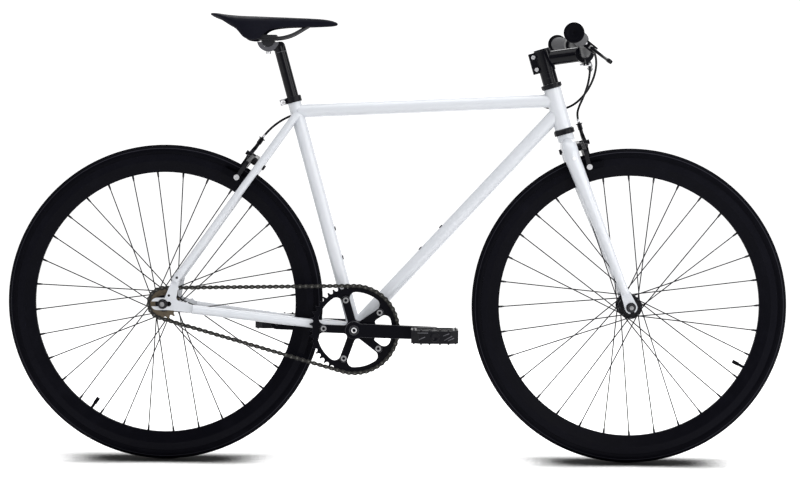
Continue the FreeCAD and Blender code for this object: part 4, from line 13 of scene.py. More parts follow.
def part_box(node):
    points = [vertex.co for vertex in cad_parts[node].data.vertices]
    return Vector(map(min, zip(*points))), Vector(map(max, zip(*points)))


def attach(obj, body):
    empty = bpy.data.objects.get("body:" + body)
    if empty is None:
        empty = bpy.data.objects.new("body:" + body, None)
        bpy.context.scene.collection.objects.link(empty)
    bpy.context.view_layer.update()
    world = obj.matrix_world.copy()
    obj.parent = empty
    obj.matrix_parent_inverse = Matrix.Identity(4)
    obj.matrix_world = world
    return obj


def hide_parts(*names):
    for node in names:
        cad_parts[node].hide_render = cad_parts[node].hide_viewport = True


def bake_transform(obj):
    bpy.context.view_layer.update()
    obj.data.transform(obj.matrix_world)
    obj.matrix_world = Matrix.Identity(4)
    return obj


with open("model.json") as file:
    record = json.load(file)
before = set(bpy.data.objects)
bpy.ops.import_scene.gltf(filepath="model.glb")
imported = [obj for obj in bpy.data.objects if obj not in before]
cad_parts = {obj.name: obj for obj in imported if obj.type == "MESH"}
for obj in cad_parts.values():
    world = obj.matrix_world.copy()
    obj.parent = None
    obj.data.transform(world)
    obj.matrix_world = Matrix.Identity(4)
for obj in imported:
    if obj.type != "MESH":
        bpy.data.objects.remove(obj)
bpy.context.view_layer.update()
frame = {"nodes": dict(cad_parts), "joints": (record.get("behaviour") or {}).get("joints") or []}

MM = 0.001
JOINTS = {joint["name"]: joint for joint in frame["joints"]}
FRONT_AXLE = Vector(JOINTS["front_wheel_spin"]["pos_m"])
REAR_AXLE = Vector(JOINTS["rear_wheel_spin"]["pos_m"])
BOTTOM_BRACKET = Vector(JOINTS["crank_spin"]["pos_m"])
CRADLE = Vector(JOINTS["saddle_tilt"]["pos_m"])
SEAT_UP = Vector(JOINTS["seatpost_slide"]["axis"])
WHEELS = (("front", FRONT_AXLE), ("rear", REAR_AXLE))


def in_mm(*pairs):
    """Pairs of lengths that are written in millimetres."""
    return tuple((first * MM, second * MM) for first, second in pairs)


# Camera of the photograph

PHOTO_WIDTH = 800
SENSOR_WIDTH_MM = 36.0
FOCAL_PIXELS = 2392.5
CAMERA_PLACE = Vector((0.030, -5.110, 0.680))
CAMERA_TARGET = Vector((0.0049, 0.0, 0.4702))
CAMERA_ROLL_DEG = 0.479
CAMERA_CLIP_END = 100

# Colours, as linear values

WHITE_PAINT = (0.665, 0.685, 0.725)
WHITE_SHADE = (0.645, 0.667, 0.71)
BLACK_ALLOY = (0.0020, 0.0020, 0.0040)
BLACK_ALLOY_WORN = (0.0050, 0.0050, 0.0085)
# Paler colour of sharp edges: partly edge wear, partly a painted edge highlight
EDGE_WEAR_AND_HIGHLIGHT = (0.22, 0.22, 0.24)
GREY_ALLOY = (0.105, 0.105, 0.118)
BLACK_RUBBER = (0.0014, 0.0014, 0.0030)
RUBBER_DUST = (0.0036, 0.0036, 0.0060)
# Painted highlight line on the tyre
TYRE_HIGHLIGHT_GREY = (0.045, 0.045, 0.058)
BRIGHT_STEEL = (0.66, 0.66, 0.68)
STEEL_DARK = (0.30, 0.30, 0.32)
CHAIN_DARK = (0.005, 0.005, 0.005)
CHAIN_LIGHT = (0.017, 0.0165, 0.015)
BRONZE = (0.115, 0.093, 0.068)
BRONZE_DARK = (0.055, 0.044, 0.032)
LEATHER = (0.0026, 0.0028, 0.0068)
LEATHER_PALE = (0.0058, 0.0064, 0.0130)
GRIP_GREY = (0.120, 0.120, 0.126)
BOLT_GREY = (0.27, 0.27, 0.28)
BOLT_DARK = (0.10, 0.10, 0.10)
RIVET_LIGHT = (0.10, 0.098, 0.092)
RIVET_DARK = (0.03, 0.03, 0.028)
PLUG_WHITE = (0.85, 0.85, 0.86)
PLUG_SHADE = (0.8, 0.8, 0.82)
PAPER_SHADE = (0.90, 0.90, 0.90)
PAPER_WHITE = (0.93, 0.93, 0.93)
# Colour of the painted contact shadow on the floor
CONTACT_SHADOW_BLACK = (0.01, 0.01, 0.01)
LIGHT_WHITE = (1, 1, 1)

# Edge rounds, grain depths and shine of the materials

PAINT_ROUND = 0.6 * MM
PAINT_PEEL = 0.03 * MM
ALLOY_ROUND = 0.7 * MM
ALLOY_GRAIN = 0.02 * MM
POST_ROUND = 0.5 * MM
CRANK_ROUND = 1.3 * MM
RING_ROUND = 0.6 * MM
FERRULE_ROUND = 0.2 * MM
RIVET_ROUND = 0.2 * MM
TRACK_RING_PITCH = 0.45 * MM
TRACK_FADE = 0.4 * MM
RIM_GRAIN = 0.03 * MM
RUBBER_GRAIN = 0.05 * MM
STEEL_ROUND = 0.35 * MM
STEEL_SCRATCH = 0.015 * MM
PLASTIC_ROUND = 0.6 * MM
PLASTIC_GRAIN = 0.05 * MM
LEATHER_GRAIN = 0.12 * MM
DULL_SHINE = 0.045
PLASTIC_SHINE = 0.14
LEATHER_SHINE = 0.07
TYRE_SHINE = 0.035
EDGE_COSINES = (0.99, 0.86)
BEVEL_SAMPLES = 4


class Shader:
    """One material's node tree, with short calls for the nodes used here."""

    def __init__(self, name):
        self.material = bpy.data.materials.new(name)
        self.material.use_nodes = True
        self.tree = self.material.node_tree
        self.surface = self.tree.nodes["Principled BSDF"]
        self.place = self.node("ShaderNodeTexCoord").outputs["Object"]

    def node(self, kind, inputs=None, **settings):
        """A new node with its settings, and values or links for inputs by name or number."""
        made = self.tree.nodes.new(kind)
        for key, value in settings.items():
            setattr(made, key, value)
        for key, value in (inputs or {}).items():
            self.put(made.inputs[key], value)
        return made

    def put(self, socket, value):
        """Links an output to a socket, or sets the socket's own value."""
        if isinstance(value, bpy.types.NodeSocket):
            self.tree.links.new(value, socket)
        elif isinstance(value, (tuple, Vector)) and socket.type == "RGBA":
            socket.default_value = (*value, 1.0)
        else:
            socket.default_value = value

    def math(self, operation, first, second=0.0, clamp=False):
        made = self.node("ShaderNodeMath", {0: first, 1: second}, operation=operation, use_clamp=clamp)
        return made.outputs[0]

    def plus(self, first, second):
        return self.math("ADD", first, second)

    def times(self, first, second):
        return self.math("MULTIPLY", first, second)

    def vector(self, operation, first, second=(0, 0, 0)):
        """Outputs of a vector sum: a vector and a value."""
        return self.node("ShaderNodeVectorMath", {0: first, 1: second}, operation=operation).outputs

    def noise(self, scale, detail=4.0, roughness=0.55):
        inputs = {"Vector": self.place, "Scale": scale, "Detail": detail, "Roughness": roughness}
        return self.node("ShaderNodeTexNoise", inputs).outputs["Fac"]

    def cells(self, scale, feature="F1"):
        inputs = {"Vector": self.place, "Scale": scale}
        return self.node("ShaderNodeTexVoronoi", inputs, feature=feature).outputs["Distance"]

    def ramp(self, value, low, high, start=0.0, end=1.0):
        """Smooth change from start to end while a value goes from low to high."""
        inputs = {"Value": value, "From Min": low, "From Max": high, "To Min": start, "To Max": end}
        return self.node("ShaderNodeMapRange", inputs, interpolation_type="SMOOTHSTEP").outputs["Result"]

    def blend(self, share, first, second, amount=None):
        """Mixes two colours; the node lists its colour sockets after those of its other data types."""
        if amount is not None:
            share = self.times(share, amount)
        return self.node("ShaderNodeMix", {0: share, 6: first, 7: second}, data_type="RGBA").outputs[2]

    def bump(self, height, depth, strength, normal=None):
        inputs = {"Height": height, "Distance": depth, "Strength": strength}
        if normal is not None:
            inputs["Normal"] = normal
        return self.node("ShaderNodeBump", inputs).outputs["Normal"]

    def rounded(self, radius):
        return self.node("ShaderNodeBevel", {"Radius": radius}, samples=BEVEL_SAMPLES).outputs["Normal"]

    def centred(self, centre):
        return self.vector("SUBTRACT", self.place, centre)["Vector"]

    def radius(self, centre):
        """Distance from an axle, square to the wheel's own axis."""
        flat = self.vector("MULTIPLY", self.centred(centre), (1, 0, 1))["Vector"]
        return self.vector("LENGTH", flat)["Value"]

    def edges(self, radius):
        """Share of 1 along sharp edges, where a rounded normal leaves the flat one."""
        flat = self.node("ShaderNodeNewGeometry").outputs["Normal"]
        return self.ramp(self.vector("DOT_PRODUCT", self.rounded(radius), flat)["Value"], *EDGE_COSINES)

    def set(self, **values):
        for name, value in values.items():
            self.put(self.surface.inputs[name.replace("_", " ")], value)
        return self.material

    def finish(self, colour, rough, normal, **others):
        return self.set(Base_Color=colour, Roughness=rough, Normal=normal, **others)


# Materials

def white_paint():
    """Glossy cool white paint with a faint orange peel under a clear coat."""
    shader = Shader("white_paint")
    cloud = shader.ramp(shader.noise(scale=6.0, detail=3.0), 0.35, 0.7)
    peel = shader.noise(scale=900.0, detail=2.0)
    dust = shader.ramp(shader.noise(scale=220.0, detail=6.0, roughness=0.7), 0.62, 0.8)
    colour = shader.blend(cloud, WHITE_PAINT, WHITE_SHADE)
    rough = shader.plus(shader.ramp(cloud, 0, 1, 0.22, 0.27), shader.times(dust, 0.05))
    normal = shader.bump(peel, PAINT_PEEL, 0.35, shader.rounded(PAINT_ROUND))
    return shader.finish(colour, rough, normal, Coat_Weight=0.45, Coat_Roughness=0.1)


def black_alloy(name, roughness=0.3, edge=ALLOY_ROUND, tint=BLACK_ALLOY, worn=BLACK_ALLOY_WORN,
                edge_wear_highlight_share=0.25, shine=0.15):
    """Anodised or painted alloy, with fine grain, paler rubbed places, and paler edges that are partly edge
    wear and partly a painted edge highlight.
    """
    shader = Shader(name)
    grain = shader.noise(scale=1400.0, detail=3.0, roughness=0.6)
    rubbed = shader.ramp(shader.noise(scale=38.0, detail=6.0, roughness=0.65), 0.55, 0.78)
    colour = shader.blend(rubbed, tint, worn, 0.45)
    # Paler edges: partly edge wear, partly a painted edge highlight.
    colour = shader.blend(shader.edges(edge), colour, EDGE_WEAR_AND_HIGHLIGHT, edge_wear_highlight_share)
    rough = shader.plus(shader.ramp(grain, 0.3, 0.7, roughness - 0.05, roughness + 0.07),
                        shader.times(rubbed, 0.08))
    normal = shader.bump(grain, ALLOY_GRAIN, 0.4, shader.rounded(edge))
    return shader.finish(colour, rough, normal, Specular_IOR_Level=shine)


def rim_black(name, centre, track_inner, track_outer):
    """Deep black rim: satin below, fine turned rings on the brake track, whose paler colour is partly its
    turned finish and partly a painted highlight line at the rim's edge.
    """
    shader = Shader(name)
    radius = shader.radius(centre)
    rings = shader.math("SINE", shader.times(radius, 2 * math.pi / TRACK_RING_PITCH))
    inside = shader.ramp(radius, track_inner - TRACK_FADE, track_inner + TRACK_FADE)
    beyond = shader.ramp(radius, track_outer - TRACK_FADE, track_outer + TRACK_FADE)
    track = shader.math("SUBTRACT", inside, beyond, True)
    cloud = shader.noise(scale=24.0, detail=5.0, roughness=0.6)
    grain = shader.noise(scale=1100.0, detail=3.0)
    colour = shader.blend(shader.ramp(cloud, 0.45, 0.8, 0.0, 0.5), BLACK_ALLOY, BLACK_ALLOY_WORN)
    # Paler brake track: partly turned finish, partly a painted highlight line at the rim's edge.
    colour = shader.blend(track, colour, BLACK_ALLOY_WORN, 0.35)
    rough = shader.plus(shader.ramp(cloud, 0.3, 0.8, 0.34, 0.46), shader.times(track, -0.06))
    height = shader.plus(shader.times(grain, 0.3),
                         shader.times(shader.times(rings, track), 0.5))
    normal = shader.bump(height, RIM_GRAIN, 0.6)
    return shader.finish(colour, rough, normal, Specular_IOR_Level=DULL_SHINE)


def rubber(name, roughness=0.62, tint=BLACK_RUBBER, pale=RUBBER_DUST):
    """Moulded black rubber with a dusty bloom."""
    shader = Shader(name)
    bloom = shader.ramp(shader.noise(scale=30.0, detail=6.0, roughness=0.65), 0.42, 0.75)
    grain = shader.noise(scale=1600.0, detail=4.0, roughness=0.7)
    colour = shader.blend(bloom, tint, pale, 0.5)
    rough = shader.ramp(grain, 0.25, 0.75, roughness - 0.08, roughness + 0.08)
    normal = shader.bump(grain, RUBBER_GRAIN, 0.6)
    return shader.finish(colour, rough, normal, Specular_IOR_Level=DULL_SHINE)


def steel(name, bright, dark, roughness=0.28, metallic=1.0, edge=STEEL_ROUND):
    """Bare or plated steel with fine scratches and darker stains."""
    shader = Shader(name)
    stain = shader.ramp(shader.noise(scale=120.0, detail=6.0, roughness=0.65), 0.4, 0.75)
    scratch = shader.noise(scale=2200.0, detail=2.0, roughness=0.5)
    colour = shader.blend(stain, bright, dark, 0.6)
    rough = shader.plus(shader.ramp(scratch, 0.3, 0.7, roughness - 0.06, roughness + 0.08),
                        shader.times(stain, 0.12))
    normal = shader.bump(scratch, STEEL_SCRATCH, 0.5, shader.rounded(edge))
    return shader.finish(colour, rough, normal, Metallic=metallic)


def moulded_plastic(name, roughness, spark=1500.0, edge_wear_highlight_share=0.15):
    """Black moulded plastic with a fine spark-eroded grain, and paler edges that are partly edge wear and
    partly a painted edge highlight.
    """
    shader = Shader(name)
    grain = shader.cells(spark)
    cloud = shader.ramp(shader.noise(scale=40.0, detail=5.0), 0.4, 0.75)
    colour = shader.blend(cloud, BLACK_ALLOY, BLACK_ALLOY_WORN, 0.4)
    # Paler edges: partly edge wear, partly a painted edge highlight.
    colour = shader.blend(shader.edges(PLASTIC_ROUND), colour, EDGE_WEAR_AND_HIGHLIGHT, edge_wear_highlight_share)
    rough = shader.ramp(cloud, 0.0, 1.0, roughness - 0.05, roughness + 0.07)
    normal = shader.bump(grain, PLASTIC_GRAIN, 0.4, shader.rounded(PLASTIC_ROUND))
    return shader.finish(colour, rough, normal, Specular_IOR_Level=PLASTIC_SHINE)


def saddle_leather():
    """Smooth black saddle cover with a pebbled grain and paler rubbed flanks."""
    shader = Shader("saddle_leather")
    pebble = shader.cells(760.0, "SMOOTH_F1")
    crease = shader.noise(scale=260.0, detail=5.0, roughness=0.6)
    rubbed = shader.ramp(shader.noise(scale=16.0, detail=4.0, roughness=0.6), 0.45, 0.75)
    colour = shader.blend(rubbed, LEATHER, LEATHER_PALE, 0.5)
    rough = shader.plus(shader.ramp(pebble, 0.0, 0.8, 0.56, 0.68), shader.times(rubbed, -0.05))
    height = shader.plus(shader.times(pebble, -0.7), shader.times(crease, 0.4))
    normal = shader.bump(height, LEATHER_GRAIN, 0.55)
    return shader.finish(colour, rough, normal, Specular_IOR_Level=LEATHER_SHINE)


# Camera, floor and light

def new_object(name, data):
    made = bpy.data.objects.new(name, data)
    bpy.context.scene.collection.objects.link(made)
    return made


def aimed(place, target):
    """Place and turn of a camera or lamp that looks at a target."""
    turn = (Vector(target) - Vector(place)).to_track_quat("-Z", "Y").to_matrix().to_4x4()
    return Matrix.Translation(place) @ turn


def photo_camera():
    data = bpy.data.cameras.new("photo_camera")
    data.sensor_fit = "HORIZONTAL"
    data.sensor_width = SENSOR_WIDTH_MM
    data.lens = FOCAL_PIXELS / PHOTO_WIDTH * SENSOR_WIDTH_MM
    data.clip_end = CAMERA_CLIP_END
    camera = new_object("photo_camera", data)
    roll = Matrix.Rotation(math.radians(CAMERA_ROLL_DEG), 4, "Z")
    camera.matrix_world = aimed(CAMERA_PLACE, CAMERA_TARGET) @ roll
    bpy.context.scene.camera = camera


STUDIO_HALF_WIDTH = 18.0
STUDIO_FRONT = -16.0
STUDIO_BACK = 9.0
STUDIO_BEND = 2.0
STUDIO_HEIGHT = 6.0
# Reach and ambient occlusion levels of the contact shadow painted on the floor
CONTACT_REACH = 230 * MM
CONTACT_DARK = 0.77
CONTACT_CLEAR = 0.955
PAPER_GLOW = 0.74
BEND_STEPS = 16
CONTACT_SAMPLES = 24
WORLD_STRENGTH = 0.38
STUDIO_LIGHTS = (
    # name, place, target, width, height, watts
    ("overhead_softbox", (0.0, -0.6, 3.2), (0.0, 0.0, 0.3), 3.6, 2.2, 62),
    ("front_softbox", (2.0, -3.4, 1.8), (0.0, 0.0, 0.5), 2.0, 1.6, 36),
    ("left_strip", (-2.6, -1.9, 1.2), (0.0, 0.0, 0.6), 0.22, 1.8, 9),
    ("right_strip", (3.0, -1.3, 1.3), (0.2, 0.0, 0.5), 0.5, 2.2, 34),
    ("rear_softbox", (0.6, 2.6, 2.4), (0.0, 0.0, 0.5), 2.4, 1.2, 34))


def studio_sweep():
    """One pale sheet: the floor, a round bend and the wall behind, with a contact shadow painted in from
    ambient occlusion.
    """
    line = [(STUDIO_FRONT, 0.0), (STUDIO_BACK, 0.0)]
    for step in range(1, BEND_STEPS + 1):
        angle = math.pi / 2 * step / BEND_STEPS
        line.append((STUDIO_BACK + STUDIO_BEND * math.sin(angle), STUDIO_BEND * (1 - math.cos(angle))))
    line.append((STUDIO_BACK + STUDIO_BEND, STUDIO_HEIGHT))
    points = [(side * STUDIO_HALF_WIDTH, y, z) for y, z in line for side in (-1, 1)]
    faces = [(2 * row, 2 * row + 1, 2 * row + 3, 2 * row + 2) for row in range(len(line) - 1)]
    mesh = bpy.data.meshes.new("studio_sweep")
    mesh.from_pydata(points, [], faces)
    mesh.polygons.foreach_set("use_smooth", [True] * len(faces))
    sweep = new_object("studio_sweep", mesh)
    shader = Shader("studio_paper")
    path = shader.node("ShaderNodeLightPath")
    seen = shader.plus(path.outputs["Is Camera Ray"], path.outputs["Is Glossy Ray"])
    seen = shader.math("ADD", seen, path.outputs["Is Transmission Ray"], True)
    paper = shader.noise(scale=3.0, detail=3.0)
    # Ambient occlusion paints a dark contact shadow into the paper's colour and dims its glow there.
    near = shader.node("ShaderNodeAmbientOcclusion", {"Distance": CONTACT_REACH}, samples=CONTACT_SAMPLES)
    clear = shader.ramp(near.outputs["AO"], CONTACT_DARK, CONTACT_CLEAR)
    colour = shader.blend(paper, PAPER_SHADE, PAPER_WHITE)
    shader.set(Base_Color=shader.blend(clear, CONTACT_SHADOW_BLACK, colour), Roughness=0.9,
               Specular_IOR_Level=0.1, Emission_Color=LIGHT_WHITE,
               Emission_Strength=shader.times(shader.times(seen, clear), PAPER_GLOW))
    mesh.materials.append(shader.material)


def area_light(name, place, target, width, height, power):
    data = bpy.data.lights.new(name, "AREA")
    data.shape = "RECTANGLE"
    data.size = width
    data.size_y = height
    data.energy = power
    new_object(name, data).matrix_world = aimed(place, target)


def studio_light():
    world = bpy.data.worlds.new("studio_world")
    bpy.context.scene.world = world
    world.use_nodes = True
    background = world.node_tree.nodes["Background"]
    background.inputs["Color"].default_value = (*LIGHT_WHITE, 1)
    background.inputs["Strength"].default_value = WORLD_STRENGTH
    for light in STUDIO_LIGHTS:
        area_light(*light)


# Dressing of the CAD nodes

def dress(material, *nodes):
    """Gives carried-over CAD nodes a procedural material."""
    for node in nodes:
        slots = frame["nodes"][node].data.materials
        slots.clear()
        slots.append(material)


def dress_where(node, material, chosen):
    """Gives the faces of a CAD node that pass a test another material."""
    mesh = frame["nodes"][node].data
    mesh.materials.append(material)
    last = len(mesh.materials) - 1
    for polygon in mesh.polygons:
        if chosen(polygon.center):
            polygon.material_index = last


SEAT_BACK = Vector((-SEAT_UP.z, 0, SEAT_UP.x))
SEAT_COLLAR_RADIUS = 18.3 * MM
CRADLE_REACH = 24.5 * MM
POST_RADIUS = 12.9 * MM
CRADLE_BOLT_DROP = 23 * MM
SHOE_TRACK = (303.5 * MM, 316.5 * MM)
RIM_TRACK = (302 * MM, 316 * MM)
SHOE_OUTER_Y = 23 * MM
SHOE_NUT_Y = 36 * MM
CRANK_BOLT_RADIUS = 15 * MM
AXLE_END = 3 * MM
AXLE_RADIUS = 5.4 * MM


def from_axle(place, axle):
    return math.hypot(place.x - axle.x, place.z - axle.z)


def axis_place(place, start, run):
    """How far a place lies along an axis, and how far off it."""
    along = (place - start).dot(run)
    return along, (place - start - run * along).length


def on_cradle(place):
    """True on the seatpost's head, outside its tube."""
    off_axis = axis_place(place, BOTTOM_BRACKET, SEAT_UP)[1]
    return from_axle(place, CRADLE) < CRADLE_REACH and off_axis > POST_RADIUS


def on_shoe(place, axle):
    """True at the height of a brake shoe."""
    return SHOE_TRACK[0] < from_axle(place, axle) < SHOE_TRACK[1]


def behind_collar(place):
    """True on the ear of the seat clamp, behind its collar."""
    return (place - BOTTOM_BRACKET).dot(SEAT_BACK) > SEAT_COLLAR_RADIUS


def dress_cad_nodes():
    dress(white_paint(), "head_tube", "top_tube", "down_tube", "seat_tube", "bottom_bracket_shell",
          "seat_stays", "chain_stays", "rear_dropouts", "stay_bridges", "cable_guides", "fork_steerer",
          "fork_blades")
    alloy = black_alloy("black_alloy")
    dress(alloy, "headset_cups", "stem_faceplate", "seat_clamp", "front_hub", "rear_hub",
          "brake_lever_brackets", "brake_lever_right", "brake_lever_left", "front_brake_bracket",
          "rear_brake_bracket", "front_caliper_right", "front_caliper_left", "rear_caliper_right",
          "rear_caliper_left")
    dress(black_alloy("black_bar", 0.36), "handlebar")
    post = black_alloy("black_post", 0.14, POST_ROUND, shine=0.16)
    dress(post, "seatpost")
    dress(black_alloy("black_tube", 0.14, shine=0.14), "headset_spacers", "stem")
    # The crank's large edge share paints its pale edge lines, partly as wear and partly as highlight.
    dress(black_alloy("black_crank", 0.28, CRANK_ROUND, edge_wear_highlight_share=0.8, shine=0.05),
          "crank_arm_right", "crank_arm_left")
    dress(black_alloy("black_ring", 0.3, RING_ROUND, edge_wear_highlight_share=0.4, shine=0.05), "chainring")
    dark_steel = steel("dark_steel", BLACK_ALLOY_WORN, BLACK_ALLOY, 0.38, 0.3)
    dress(dark_steel, "front_axle", "rear_axle", "bottom_bracket_cartridge", "crank_spindle", "saddle_rails",
          "saddle_clamp", "pedal_axles", "front_spokes", "rear_spokes", "bottle_bosses")
    bright = steel("bright_steel", BRIGHT_STEEL, STEEL_DARK)
    bolt = steel("bolt_steel", BOLT_GREY, BOLT_DARK, 0.34)
    dress(bright, "stem_bolts")
    dress(bolt, "crank_bolts")
    dress_where("crank_bolts", dark_steel, lambda place: from_axle(place, BOTTOM_BRACKET) < CRANK_BOLT_RADIUS)
    dress(steel("chain_steel", CHAIN_LIGHT, CHAIN_DARK, 0.34, 0.6), "chain")
    dress(steel("bronze_steel", BRONZE, BRONZE_DARK, 0.4), "rear_cog")
    dress(rubber("tube_rubber", 0.5), "front_inner_tube", "rear_inner_tube")
    dress(moulded_plastic("pedal_plastic", 0.34, edge_wear_highlight_share=0.4), "pedal_right", "pedal_left")
    for wheel, centre in WHEELS:
        dress(rim_black(f"{wheel}_rim_black", centre, *RIM_TRACK), f"{wheel}_rim")
    grey = black_alloy("grey_alloy", 0.34, POST_ROUND, GREY_ALLOY, GREY_ALLOY)
    dress_where("seat_clamp", bright, behind_collar)
    dress_where("seatpost", grey, on_cradle)
    dress_where("saddle_clamp", bright, lambda place: place.z < CRADLE.z - CRADLE_BOLT_DROP)
    for wheel, axle in WHEELS:
        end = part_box(f"{wheel}_axle")[1][1] - AXLE_END
        dress_where(f"{wheel}_axle", bolt,
                    lambda place: abs(place.y) > end and from_axle(place, axle) < AXLE_RADIUS)
    shoe = rubber("shoe_rubber", 0.55)
    for wheel, axle in WHEELS:
        for side in ("right", "left"):
            node = f"{wheel}_caliper_{side}"
            dress_where(node, shoe, lambda place: on_shoe(place, axle) and abs(place.y) < SHOE_OUTER_Y)
            dress_where(node, bright, lambda place: on_shoe(place, axle) and abs(place.y) > SHOE_NUT_Y)
    return {"alloy": alloy, "bright": bright, "bolt": bolt, "dark_steel": dark_steel, "grey": grey,
            "post": post}


# Mesh helpers

HEX_SIDES = 6
WIRE_SIDES = 8
PIN_SIDES = 10
WIRE_CAP_SIDES = 12
CABLE_SIDES = 14
FITTING_SIDES = 20
SEAT_BOLT_SIDES = 24
DISC_SIDES = 28
GRIP_SIDES = 48
SPLINE_ORDER = 3
SPLINE_STEPS = 8
UPRIGHT_COSINE = 0.9
WELD_DIGITS = 5


def mesh_object(name, points, faces, material, body):
    """A new smooth piece from points and faces, riding on a body if one is given."""
    mesh = bpy.data.meshes.new(name)
    mesh.from_pydata([tuple(point) for point in points], [], faces)
    work = bmesh.new()
    work.from_mesh(mesh)
    bmesh.ops.recalc_face_normals(work, faces=work.faces)
    work.to_mesh(mesh)
    work.free()
    mesh.polygons.foreach_set("use_smooth", [True] * len(mesh.polygons))
    mesh.materials.append(material)
    made = new_object(name, mesh)
    if body:
        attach(made, body)
    return made


def ring_faces(rings, count, closed=False):
    """Quads between rings of points; the rows close on themselves, or end in flat caps."""
    faces = []
    for row in range(rings if closed else rings - 1):
        near = row * count
        far = (row + 1) % rings * count
        for step in range(count):
            beside = (step + 1) % count
            faces.append((near + step, near + beside, far + beside, far + step))
    if not closed:
        faces.append(tuple(range(count)))
        faces.append(tuple((rings - 1) * count + step for step in range(count)))
    return faces


def shifted(faces, start):
    """Faces whose corners are counted on from a start."""
    return [tuple(start + index for index in face) for face in faces]


def side_frame(axis):
    """Two directions square to an axis and to each other."""
    axis = Vector(axis).normalized()
    helper = Vector((0, 0, 1)) if abs(axis.z) < UPRIGHT_COSINE else Vector((1, 0, 0))
    first = axis.cross(helper).normalized()
    return first, axis.cross(first)


def circle(count):
    """Cosine and sine of each step round a full turn."""
    angles = [2 * math.pi * step / count for step in range(count)]
    return [(math.cos(angle), math.sin(angle)) for angle in angles]


def run_at(line, index):
    """Direction of a line of points at one of them."""
    return (line[min(index + 1, len(line) - 1)] - line[max(index - 1, 0)]).normalized()


def lathe_points(profile, centre, axis, segments):
    """Rings of points: each profile entry is a radius and a distance along the axis."""
    first, second = side_frame(axis)
    axis = Vector(axis).normalized()
    points = []
    for radius, along in profile:
        foot = Vector(centre) + axis * along
        points += [foot + (first * wide + second * high) * radius for wide, high in circle(segments)]
    return points


def lathes(name, profile, seats, segments, material, body, slot, closed=False):
    """One piece of equal turned shapes, each at a centre with an axis."""
    points = []
    faces = []
    for centre, axis in seats:
        faces += shifted(ring_faces(len(profile), segments, closed), len(points))
        points += lathe_points(profile, centre, axis, segments)
    return mesh_object(name, points, faces, material, body)


def lathe(name, profile, centre, axis, *others):
    return lathes(name, profile, [(centre, axis)], *others)


def spline_points(points):
    """Points along the smooth line that a route's control points give."""
    curve = bpy.data.curves.new("route", "CURVE")
    curve.dimensions = "3D"
    spline = curve.splines.new("NURBS")
    spline.points.add(len(points) - 1)
    for target, place in zip(spline.points, points):
        target.co = (*place, 1.0)
    spline.order_u = SPLINE_ORDER
    spline.use_endpoint_u = True
    spline.resolution_u = SPLINE_STEPS
    holder = new_object("route", curve)
    bpy.context.view_layer.update()
    mesh = bpy.data.meshes.new_from_object(holder.evaluated_get(bpy.context.evaluated_depsgraph_get()))
    line = [vertex.co.copy() for vertex in mesh.vertices]
    bpy.data.objects.remove(holder)
    bpy.data.curves.remove(curve)
    bpy.data.meshes.remove(mesh)
    return line


def tube_points(line, radius, segments):
    """Rings of points round a line, carried along it without twist."""
    side = None
    points = []
    for index, place in enumerate(line):
        run = run_at(line, index)
        if side is None:
            side = side_frame(run)[0]
        side = (side - run * side.dot(run)).normalized()
        up = run.cross(side)
        points += [place + (side * wide + up * high) * radius for wide, high in circle(segments)]
    return points


def tube(name, line, radius, segments, material, body):
    points = tube_points(line, radius, segments)
    return mesh_object(name, points, ring_faces(len(line), segments), material, body)


def islands(node):
    """Places of the corners of each separate piece in a CAD node's mesh."""
    mesh = frame["nodes"][node].data
    seats = {}
    corner = []
    for vertex in mesh.vertices:
        seat = tuple(round(value, WELD_DIGITS) for value in vertex.co)
        corner.append(seats.setdefault(seat, len(seats)))
    parent = list(range(len(seats)))

    def root(index):
        while parent[index] != index:
            parent[index] = parent[parent[index]]
            index = parent[index]
        return index

    for polygon in mesh.polygons:
        first = root(corner[polygon.vertices[0]])
        for other in polygon.vertices[1:]:
            parent[root(corner[other])] = first
    groups = {}
    for place, index in seats.items():
        groups.setdefault(root(index), []).append(Vector(place))
    return list(groups.values())


def middle(places):
    return sum(places, Vector()) / len(places)


def bar_ends(places, reach):
    """Middles of the two ends of a long piece."""
    centre = middle(places)
    first = max(places, key=lambda place: (place - centre).length)
    last = max(places, key=lambda place: (place - first).length)
    return [middle([place for place in places if (place - end).length < reach]) for end in (first, last)]


# Spokes

SPOKE_RADIUS = 1.25 * MM
SPOKE_END_REACH = 5 * MM
NIPPLE_ROOT = 279 * MM
NIPPLE_PROFILE = in_mm((1.5, 0), (2.3, 0.4), (2.3, 8), (1.9, 9), (1.7, 12), (1.3, 12.4))
SPOKE_HEAD_PROFILE = in_mm((0.9, -1.9), (2.0, -1.6), (2.3, -1.0), (2.3, 1.0), (2.0, 1.6), (0.9, 1.9))


def spokes(dark):
    """Round spokes in place of the faceted ones, with nipples at the rim and heads at the hub."""
    for wheel, axle in WHEELS:
        points = []
        faces = []
        nipples = []
        heads = []
        for places in islands(f"{wheel}_spokes"):
            ends = bar_ends(places, SPOKE_END_REACH)
            hub_end, rim_end = sorted(ends, key=lambda place: from_axle(place, axle))
            run = (rim_end - hub_end).normalized()
            profile = ((SPOKE_RADIUS, 0), (SPOKE_RADIUS, (rim_end - hub_end).length))
            faces += shifted(ring_faces(len(profile), PIN_SIDES), len(points))
            points += lathe_points(profile, hub_end, run, PIN_SIDES)
            seat = rim_end + run * (NIPPLE_ROOT - from_axle(rim_end, axle))
            nipples.append((seat, -run))
            heads.append((hub_end, Vector((0, 1, 0))))
        piece = mesh_object(f"{wheel}_spoke_set", points, faces, dark, f"{wheel}_wheel")
        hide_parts(f"{wheel}_spokes")
        lathes(f"{wheel}_nipples", NIPPLE_PROFILE, nipples, PIN_SIDES, dark, f"{wheel}_wheel", "black_steel")
        lathes(f"{wheel}_spoke_heads", SPOKE_HEAD_PROFILE, heads, PIN_SIDES, dark, f"{wheel}_wheel",
               "black_steel")


# Chain rivets

